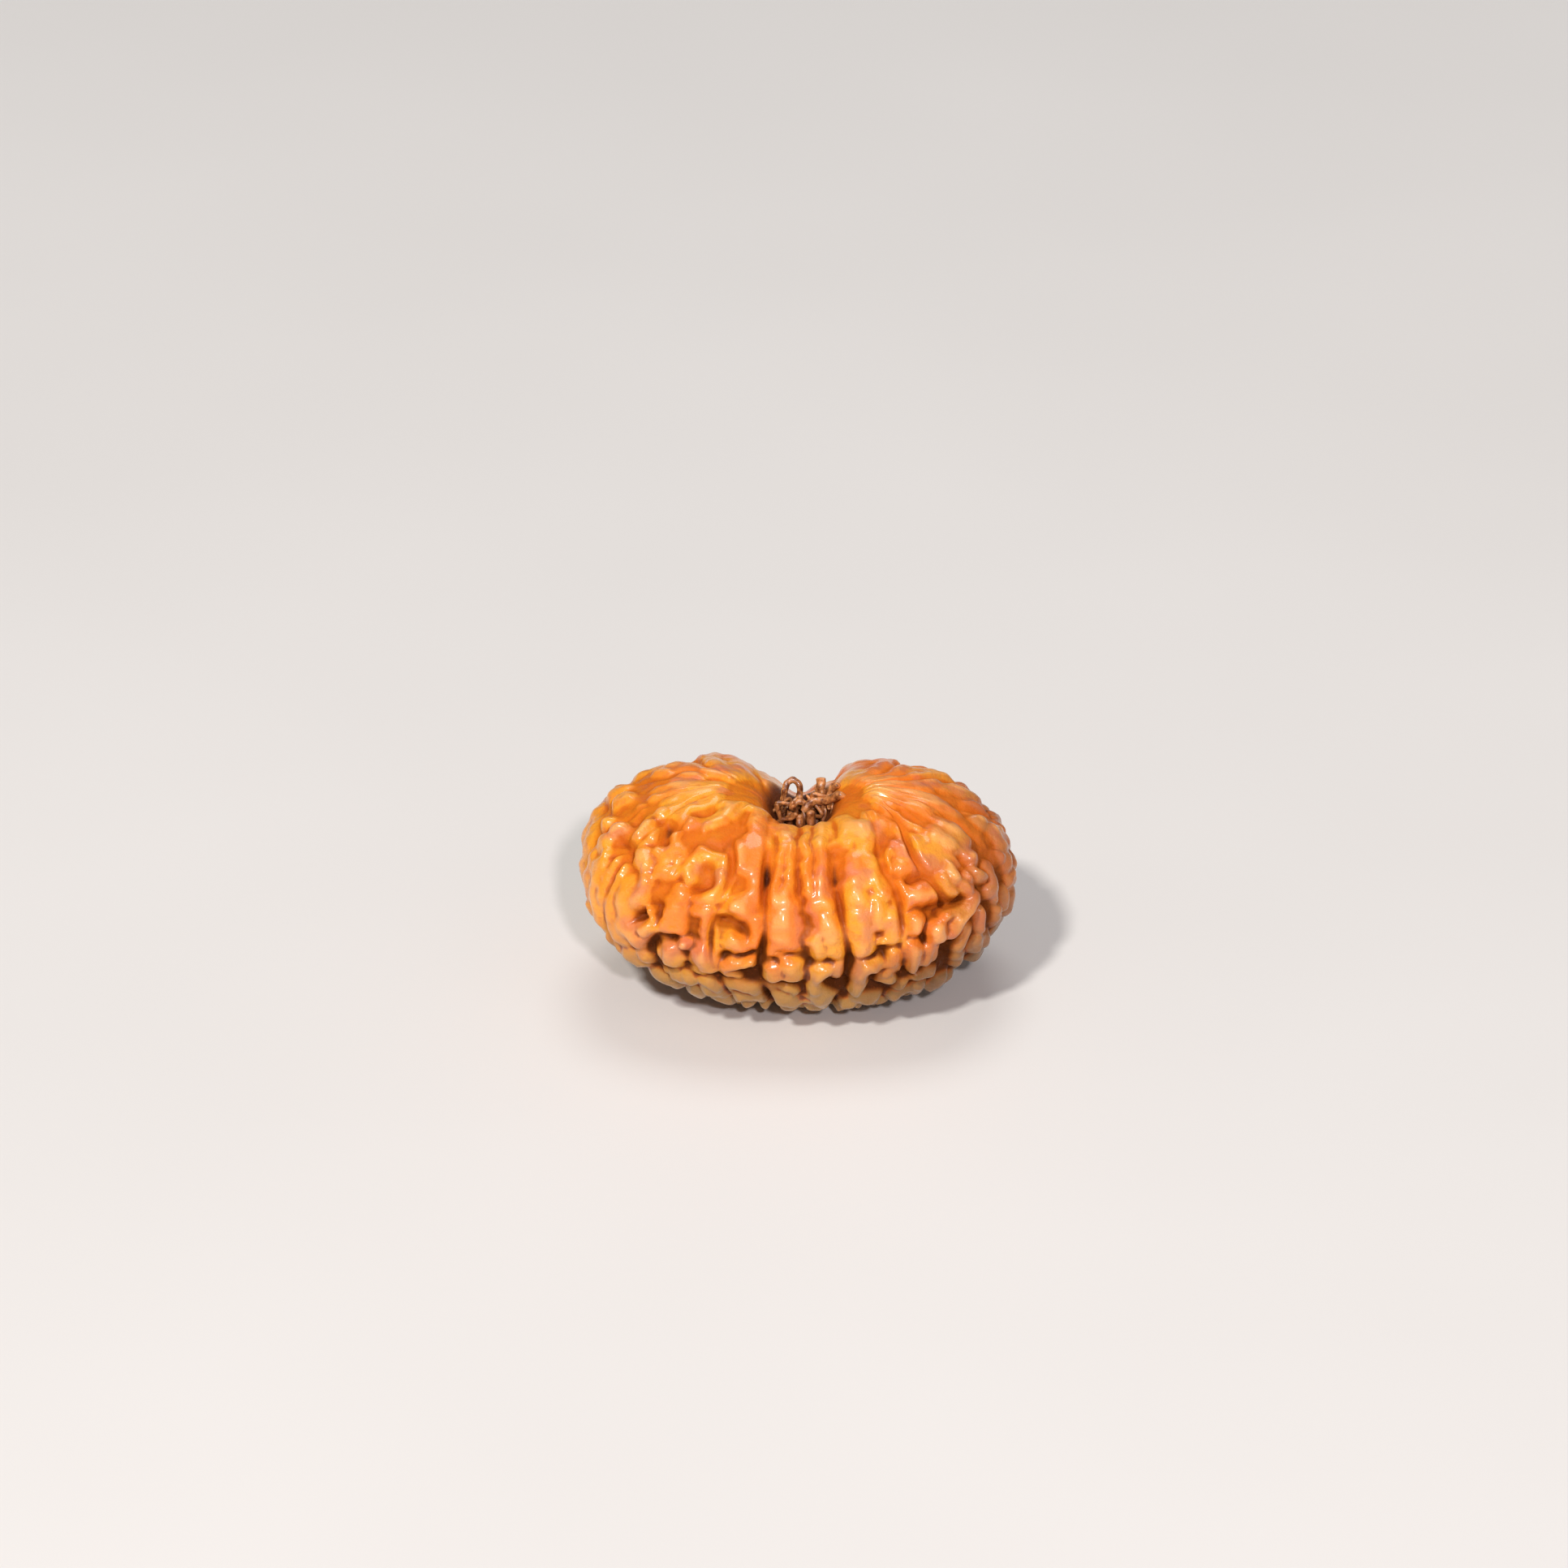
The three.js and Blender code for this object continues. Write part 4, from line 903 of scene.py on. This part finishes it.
def add_attributes(mesh, height, latitude, d, p):
    """What the stone's colours and gloss follow: rise is 0 in the creases and 1 on the crowns."""
    # Where the pit's painted shade falls, in and behind the pit
    shade = np.hypot((p[:, 0] - DIP_X) / PIT_SHADE_X, (p[:, 1] - PIT_SHADE_Y) / PIT_SHADE_LENGTH)
    inside = np.where(d[:, 2] > 0, 1 - smooth_step(*PIT_SHADE_EDGE, shade), 0)
    fields = {
        "rise": smoothed(1 + height / floor_depth(latitude), 1),
        "hollow": height - smoothed(height, BROAD_SOFTENING),
        "fine_hollow": height - smoothed(height, FINE_SOFTENING),
        "pit_shade": inside.reshape(height.shape),
    }
    for name, values in fields.items():
        attribute = mesh.attributes.new(name, "FLOAT", "POINT")
        ends = [values[0].mean(), values[-1].mean()]
        attribute.data.foreach_set("value", np.concatenate([values.ravel(), ends]).astype(np.float32))


def make_bead():
    longitude, latitude = stone_grid()
    d = direction(longitude.ravel(), latitude.ravel())
    p = outer_form(d)
    height = relief(longitude.ravel(), latitude.ravel(), d, p)
    height = smoothed(height.reshape(latitude.shape), SOFTENING)
    moved = p + outwards(d) * height.reshape(-1, 1)
    bottom = outer_form(np.array([[0.0, 0.0, -1.0]]))
    top = outer_form(np.array([[0.0, 0.0, 1.0]]))
    points = np.concatenate([moved, bottom, top])
    points[:, 2] = np.maximum(points[:, 2], LOWEST) - LOWEST
    middle = (points[:-2].max(0) + points[:-2].min(0)) / 2
    points[:, :2] -= middle[:2]
    bead = make_piece("bead_stone", points, grid_faces(*latitude.shape))
    add_attributes(bead.data, height, latitude, d, p)
    return bead, middle


def curve_points(points, count):
    """A smooth Catmull-Rom curve through the points."""
    p = [2 * np.array(points[0]) - np.array(points[1])]
    p += [np.array(q) for q in points]
    p += [2 * np.array(points[-1]) - np.array(points[-2])]
    found = []
    for step in range(count + 1):
        t = step / count * (len(points) - 1)
        i = min(int(t), len(points) - 2)
        t -= i
        a, b, c, e = p[i:i + 4]
        found.append(0.5 * (2 * b + (c - a) * t + (2 * a - 5 * b + 4 * c - e) * t ** 2
                            + (3 * b - a - 3 * c + e) * t ** 3))
    return np.array(found)


def tube(points, half, sides, seed):
    """Points and faces of a lumpy closed tube along a curve."""
    tangent = normalised(np.gradient(points, axis=0))
    side = normalised(np.cross(tangent, np.array([0.31, 0.27, 0.91])))
    up = np.cross(tangent, side)
    count = len(points)
    vertices = []
    for i in range(count):
        end = min(i, count - 1 - i) / TIP_RINGS
        taper = math.sqrt(max(1 - (1 - min(end, 1)) ** 2, TIP_LEAST))
        for k in range(sides):
            angle = 2 * math.pi * k / sides
            out = math.cos(angle) * side[i] + math.sin(angle) * up[i]
            place = Vector(points[i] * LUMPS_ALONG + out * LUMPS_AROUND) + Vector((seed, 0, 0))
            lump = 1 + LUMPINESS * noise.noise(place)
            vertices.append(points[i] + out * half * taper * lump)
    faces = []
    for i in range(count - 1):
        for k in range(sides):
            n = (k + 1) % sides
            faces.append((i * sides + k, i * sides + n, (i + 1) * sides + n, (i + 1) * sides + k))
    faces.append(tuple(reversed(range(sides))))
    faces.append(tuple(range((count - 1) * sides, count * sides)))
    return vertices, faces


def strand_paths():
    """Thin strands that wander about between the fibres, each a few turns in the same small space."""
    draw = random_series(STRAND_SEED)
    paths = []
    for _ in range(STRAND_COUNT):
        x = STRAND_X + (next(draw) - 0.5) * STRAND_SPREAD_X
        y = STRAND_Y + (next(draw) - 0.5) * STRAND_SPREAD_Y
        points = [(x, y - STRAND_FOOT_AHEAD, STRAND_FOOT)]
        for _ in range(STRAND_TURNS):
            height = STRAND_LOW + (STRAND_HIGH - STRAND_LOW) * next(draw)
            turn_x = x + (next(draw) - 0.5) * STRAND_TURN
            turn_y = y + (next(draw) - 0.5) * STRAND_TURN
            points.append((turn_x, turn_y, height))
        half = STRAND_HALF * (STRAND_LEAST_HALF + STRAND_HALF_SPREAD * next(draw))
        paths.append((half, points))
    return paths


def make_fibres(middle):
    vertices = []
    faces = []
    for index, (half, points) in enumerate(FIBRES + strand_paths()):
        path = curve_points(points, FIBRE_RINGS)
        more, more_faces = tube(path, half, FIBRE_SIDES, index * LUMP_SEED_STEP)
        faces += [tuple(i + len(vertices) for i in face) for face in more_faces]
        vertices += more
    points = np.array(vertices) - np.array([middle[0], middle[1], LOWEST])
    return make_piece("pit_fibres", points, faces)


class Nodes:
    """Short forms for making and joining a material's nodes."""

    def __init__(self, name):
        self.material = bpy.data.materials.new(name)
        self.material.use_nodes = True
        self.tree = self.material.node_tree
        self.shader = self.tree.nodes["Principled BSDF"]

    def add(self, kind, **settings):
        node = self.tree.nodes.new(kind)
        for key, value in settings.items():
            setattr(node, key, value)
        return node

    def link(self, source, target):
        self.tree.links.new(source, target)

    def attribute(self, name):
        return self.add("ShaderNodeAttribute", attribute_name=name).outputs["Fac"]

    def position(self):
        return self.add("ShaderNodeTexCoord").outputs["Object"]

    def axis(self, which):
        node = self.add("ShaderNodeSeparateXYZ")
        self.link(self.position(), node.inputs["Vector"])
        return node.outputs[which]

    def combined(self, operation, a, b):
        """Two values multiplied, or the greater of the two."""
        node = self.add("ShaderNodeMath", operation=operation)
        self.link(a, node.inputs[0])
        self.link(b, node.inputs[1])
        return node.outputs[0]

    def noise(self, size_mm, detail, roughness, stretch=None):
        node = self.add("ShaderNodeTexNoise")
        source = self.position()
        if stretch:
            mapping = self.add("ShaderNodeMapping")
            mapping.inputs["Scale"].default_value = stretch
            self.link(source, mapping.inputs["Vector"])
            source = mapping.outputs["Vector"]
        self.link(source, node.inputs["Vector"])
        node.inputs["Scale"].default_value = 1 / (size_mm * MM)
        node.inputs["Detail"].default_value = detail
        node.inputs["Roughness"].default_value = roughness
        return node.outputs["Fac"]

    def spread(self, value, low, high, to_low=0.0, to_high=1.0):
        """A soft step from to_low, where the value is low, to to_high, where it is high."""
        node = self.add("ShaderNodeMapRange", interpolation_type="SMOOTHSTEP")
        node.inputs["From Min"].default_value = low
        node.inputs["From Max"].default_value = high
        node.inputs["To Min"].default_value = to_low
        node.inputs["To Max"].default_value = to_high
        self.link(value, node.inputs["Value"])
        return node.outputs["Result"]

    def ramp(self, value, stops):
        node = self.add("ShaderNodeValToRGB")
        elements = node.color_ramp.elements
        while len(elements) < len(stops):
            elements.new(0.5)
        for element, (place, colour) in zip(elements, stops):
            element.position = place
            element.color = (*colour, 1)
        self.link(value, node.inputs["Fac"])
        return node.outputs["Color"]

    def mix(self, share, a, b):
        """Colour a where share is 0, and colour b where it is 1."""
        node = self.add("ShaderNodeMix", data_type="RGBA")
        colour_a, colour_b = [socket for socket in node.inputs if socket.type == "RGBA"]
        self.put(share, node.inputs["Factor"])
        self.put(a, colour_a)
        self.put(b, colour_b)
        return next(socket for socket in node.outputs if socket.type == "RGBA")

    def put(self, value, target):
        if isinstance(value, bpy.types.NodeSocket):
            self.link(value, target)
        elif isinstance(value, tuple):
            target.default_value = (*value, 1)
        else:
            target.default_value = value

    def bump(self, height, distance_mm, strength, after=None):
        node = self.add("ShaderNodeBump")
        node.inputs["Strength"].default_value = strength
        node.inputs["Distance"].default_value = distance_mm * MM
        self.link(height, node.inputs["Height"])
        if after:
            self.link(after, node.inputs["Normal"])
        return node.outputs["Normal"]


# Colours of the stone, as linear red, green and blue
# The crevice colour is painted shade in the deepest clefts
CREVICE_SHADE = (0.06, 0.012, 0.004)
# The crease colour is painted shade in creases low down and on the right
CREASE_SHADE = (0.085, 0.020, 0.003)
# The hollow colours are painted shade in hollows and creases
DEEP_HOLLOW_SHADE = (0.36, 0.06, 0.006)
HOLLOW_SHADE = (0.58, 0.125, 0.009)
ORANGE = (0.84, 0.205, 0.012)
YELLOW = (0.88, 0.33, 0.016)
# Painted highlight on the crowns of ridges and knobs
CREST_HIGHLIGHT = (0.96, 0.44, 0.12)
RUSSET = (0.55, 0.10, 0.016)
ROSE = (0.62, 0.17, 0.09)
# Tan low down: partly the stone's own tone, partly painted shade on the underside
TAN_AND_SHADE = (0.37, 0.185, 0.036)
# Rose brown on the right: partly the stone's own tone, partly painted shade away from the key light
ROSE_BROWN_AND_SHADE = (0.33, 0.10, 0.04)
# Painted shade on the lower right
LOW_RIGHT_SHADE = (0.15, 0.055, 0.012)
# Painted shade in and behind the pit
PIT_SHADE_COLOUR = (0.11, 0.030, 0.010)

# Colours of the fibres and of the floor
FIBRE_DARK = (0.15, 0.04, 0.010)
FIBRE_LIGHT = (0.74, 0.30, 0.09)
FLOOR_DARK = (0.72, 0.70, 0.67)
FLOOR_LIGHT = (0.78, 0.76, 0.73)


def stone_colour(n, rise, pit, mottling, specks):
    """Orange and yellow patches, yellower left and browner right and low down partly as painted light, a
    painted highlight on the crowns, and painted shade in the creases, low down, on the right and in the pit.
    """
    hollow = n.attribute("hollow")
    fine = n.attribute("fine_hollow")
    across = n.axis(0)
    up = n.axis(2)
    patches = n.noise(4.5, 3, 0.5)
    blush = n.noise(2.6, 2, 0.5, (1.0, 1.3, 0.8))

    colour = n.mix(n.spread(patches, 0.44, 0.58), ORANGE, YELLOW)
    # Yellower towards the left: partly the stone's own tone, partly painted light on the side facing the key
    # light
    colour = n.mix(n.spread(across, -7 * MM, -13 * MM, 0, 0.75), colour, YELLOW)
    colour = n.mix(n.spread(mottling, 0.54, 0.72, 0, 0.4), colour, RUSSET)
    colour = n.mix(n.spread(blush, 0.53, 0.68, 0, 0.6), colour, ROSE)
    # Browner towards the right: partly the stone's own tone, partly painted shade away from the key light
    colour = n.mix(n.spread(across, 8 * MM, 14.5 * MM, 0, 0.75), colour, ROSE_BROWN_AND_SHADE)
    # Paler crowns: a painted highlight
    colour = n.mix(n.spread(rise, 0.80, 1.10, 0, 0.55), colour, CREST_HIGHLIGHT)
    # Tan and darker low down: partly the stone's own tone, partly painted shade on the underside
    colour = n.mix(n.spread(up, 9 * MM, 3.5 * MM, 0, 0.95), colour, TAN_AND_SHADE)
    # Painted shade on the lower right, away from the key light and under the stone
    to_right = n.spread(across, 1 * MM, 11 * MM, 0, 0.75)
    low_right_shade = n.combined("MULTIPLY", to_right, n.spread(up, 10 * MM, 4 * MM))
    colour = n.mix(low_right_shade, colour, LOW_RIGHT_SHADE)

    # Painted shade in the hollows, creases and low floor between ridges, darkest in the fine creases
    colour = n.mix(n.spread(hollow, -0.03, -0.20, 0, 0.6), colour, HOLLOW_SHADE)
    colour = n.mix(n.spread(fine, -0.01, -0.07, 0, 0.7), colour, HOLLOW_SHADE)
    colour = n.mix(n.spread(rise, 0.50, 0.05, 0, 0.7), colour, HOLLOW_SHADE)
    colour = n.mix(n.spread(fine, -0.05, -0.15, 0, 0.8), colour, DEEP_HOLLOW_SHADE)
    # Painted shade: the creases darkest low down and on the far right
    far_right = n.spread(across, 8 * MM, 13 * MM, 0, 0.7)
    right_side_shade = n.combined("MULTIPLY", far_right, n.spread(up, 13.5 * MM, 10 * MM))
    shaded = n.combined("MAXIMUM", n.spread(up, 12 * MM, 6.5 * MM), right_side_shade)
    colour = n.mix(n.combined("MULTIPLY", n.spread(rise, 0.45, 0.05), shaded), colour, CREASE_SHADE)
    colour = n.mix(n.combined("MULTIPLY", n.spread(fine, -0.02, -0.09, 0, 0.7), shaded), colour, CREASE_SHADE)
    # Painted shade in the deepest clefts
    colour = n.mix(n.spread(rise, -0.50, -1.50), colour, CREVICE_SHADE)
    # Painted shade in and behind the pit
    colour = n.mix(n.spread(pit, 0.10, 0.85), colour, PIT_SHADE_COLOUR)
    return n.mix(n.spread(specks, 0.60, 0.74, 0, 0.35), colour, RUSSET)


def stone_material():
    """Glossy on the crowns, dull in the creases and in the pit, and uneven all over."""
    n = Nodes("rudraksha_stone")
    rise = n.attribute("rise")
    pit = n.attribute("pit_shade")
    mottling = n.noise(1.1, 4, 0.6)
    specks = n.noise(0.22, 3, 0.65)
    n.link(stone_colour(n, rise, pit, mottling, specks), n.shader.inputs["Base Color"])
    n.link(n.spread(mottling, 0.3, 0.7, 0.38, 0.55), n.shader.inputs["Roughness"])
    n.link(n.spread(rise, 0.1, 0.6, 0.06, 0.35), n.shader.inputs["Specular IOR Level"])
    on_crowns = n.spread(rise, 0.2, 0.75, 0.0, 0.8)
    out_of_pit = n.spread(pit, 0.1, 0.6, 1.0, 0.0)
    n.link(n.combined("MULTIPLY", on_crowns, out_of_pit), n.shader.inputs["Coat Weight"])
    n.shader.inputs["Coat Roughness"].default_value = 0.18
    n.shader.inputs["Subsurface Weight"].default_value = 0.12
    n.shader.inputs["Subsurface Radius"].default_value = (1.0, 0.3, 0.08)
    n.shader.inputs["Subsurface Scale"].default_value = 0.7 * MM
    normal = n.bump(n.noise(0.9, 4, 0.6), 0.22, 0.6)
    normal = n.bump(n.noise(0.35, 3, 0.6), 0.10, 0.6, normal)
    normal = n.bump(specks, 0.035, 0.35, normal)
    n.link(normal, n.shader.inputs["Normal"])
    return n.material


def fibre_material():
    n = Nodes("dried_fibre")
    streaks = n.noise(0.45, 4, 0.6)
    colour = n.ramp(streaks, [(0.36, FIBRE_DARK), (0.62, FIBRE_LIGHT)])
    # Painted shade on the fibres low down in the pit
    colour = n.mix(n.spread(n.axis(2), 14.0 * MM, 12.0 * MM, 0, 0.85), colour, FIBRE_DARK)
    n.link(colour, n.shader.inputs["Base Color"])
    n.link(n.spread(streaks, 0.3, 0.7, 0.28, 0.5), n.shader.inputs["Roughness"])
    n.shader.inputs["Coat Weight"].default_value = 0.3
    n.shader.inputs["Coat Roughness"].default_value = 0.15
    n.shader.inputs["Subsurface Weight"].default_value = 0.15
    n.shader.inputs["Subsurface Scale"].default_value = 0.3 * MM
    n.link(n.bump(n.noise(0.18, 3, 0.6), 0.06, 0.6), n.shader.inputs["Normal"])
    return n.material


def floor_material():
    n = Nodes("pale_floor")
    n.link(n.mix(n.noise(60, 2, 0.5), FLOOR_DARK, FLOOR_LIGHT), n.shader.inputs["Base Color"])
    n.shader.inputs["Roughness"].default_value = 0.75
    return n.material


def make_floor():
    signs = [(-1, -1), (1, -1), (1, 1), (-1, 1)]
    corners = [(x * FLOOR_HALF, y * FLOOR_HALF, 0) for x, y in signs]
    mesh = bpy.data.meshes.new("floor_surface")
    mesh.from_pydata(corners, [], [(0, 1, 2, 3)])
    floor = bpy.data.objects.new("floor", mesh)
    bpy.context.collection.objects.link(floor)
    mesh.materials.append(floor_material())


def area_light(name, size, power, place, colour):
    light = bpy.data.lights.new(name, "AREA")
    light.shape = "DISK"
    light.size = size
    light.energy = power
    light.color = colour
    lamp = bpy.data.objects.new(name, light)
    bpy.context.collection.objects.link(lamp)
    lamp.location = place
    lamp.rotation_euler = (Vector(LIGHT_TARGET) - Vector(place)).to_track_quat("-Z", "Y").to_euler()


def make_lights():
    for name, (size, power, place, colour) in LIGHTS.items():
        area_light(name, size, power, place, colour)
    world = bpy.data.worlds.new("studio")
    world.use_nodes = True
    background = world.node_tree.nodes["Background"]
    background.inputs["Color"].default_value = (*WORLD_COLOUR, 1)
    background.inputs["Strength"].default_value = WORLD_STRENGTH
    bpy.context.scene.world = world


def make_camera(middle_height):
    """The photograph's view: the stone's middle lies right of and below the picture's middle."""
    pixel = STONE_WIDTH / STONE_WIDTH_PIXELS
    back = Vector((0, -math.cos(VIEW_ELEVATION), math.sin(VIEW_ELEVATION)))
    up = Vector((0, math.sin(VIEW_ELEVATION), math.cos(VIEW_ELEVATION)))
    right = Vector((1, 0, 0))
    aim = Vector((0, 0, middle_height))
    aim -= right * (MIDDLE_X_PIXEL - PHOTO_SIZE / 2) * pixel * MM
    aim += up * (MIDDLE_Y_PIXEL - PHOTO_SIZE / 2) * pixel * MM
    data = bpy.data.cameras.new("photo_camera")
    data.sensor_width = SENSOR_WIDTH
    data.lens = SENSOR_WIDTH * VIEW_DISTANCE / (PHOTO_SIZE * pixel)
    data.clip_start = 0.01
    data.clip_end = 20
    camera = bpy.data.objects.new("photo_camera", data)
    bpy.context.collection.objects.link(camera)
    turn = Matrix((right, up, back)).transposed().to_4x4()
    camera.matrix_world = Matrix.Translation(aim + back * VIEW_DISTANCE * MM) @ turn
    bpy.context.scene.camera = camera


bead, bead_middle = make_bead()
bead.data.materials.append(stone_material())
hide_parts("bead")
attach(bead, "root")

fibres = make_fibres(bead_middle)
fibres.data.materials.append(fibre_material())
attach(fibres, "root")

make_floor()
make_lights()
make_camera(-LOWEST * MM)
bpy.context.scene.view_settings.view_transform = "Standard"
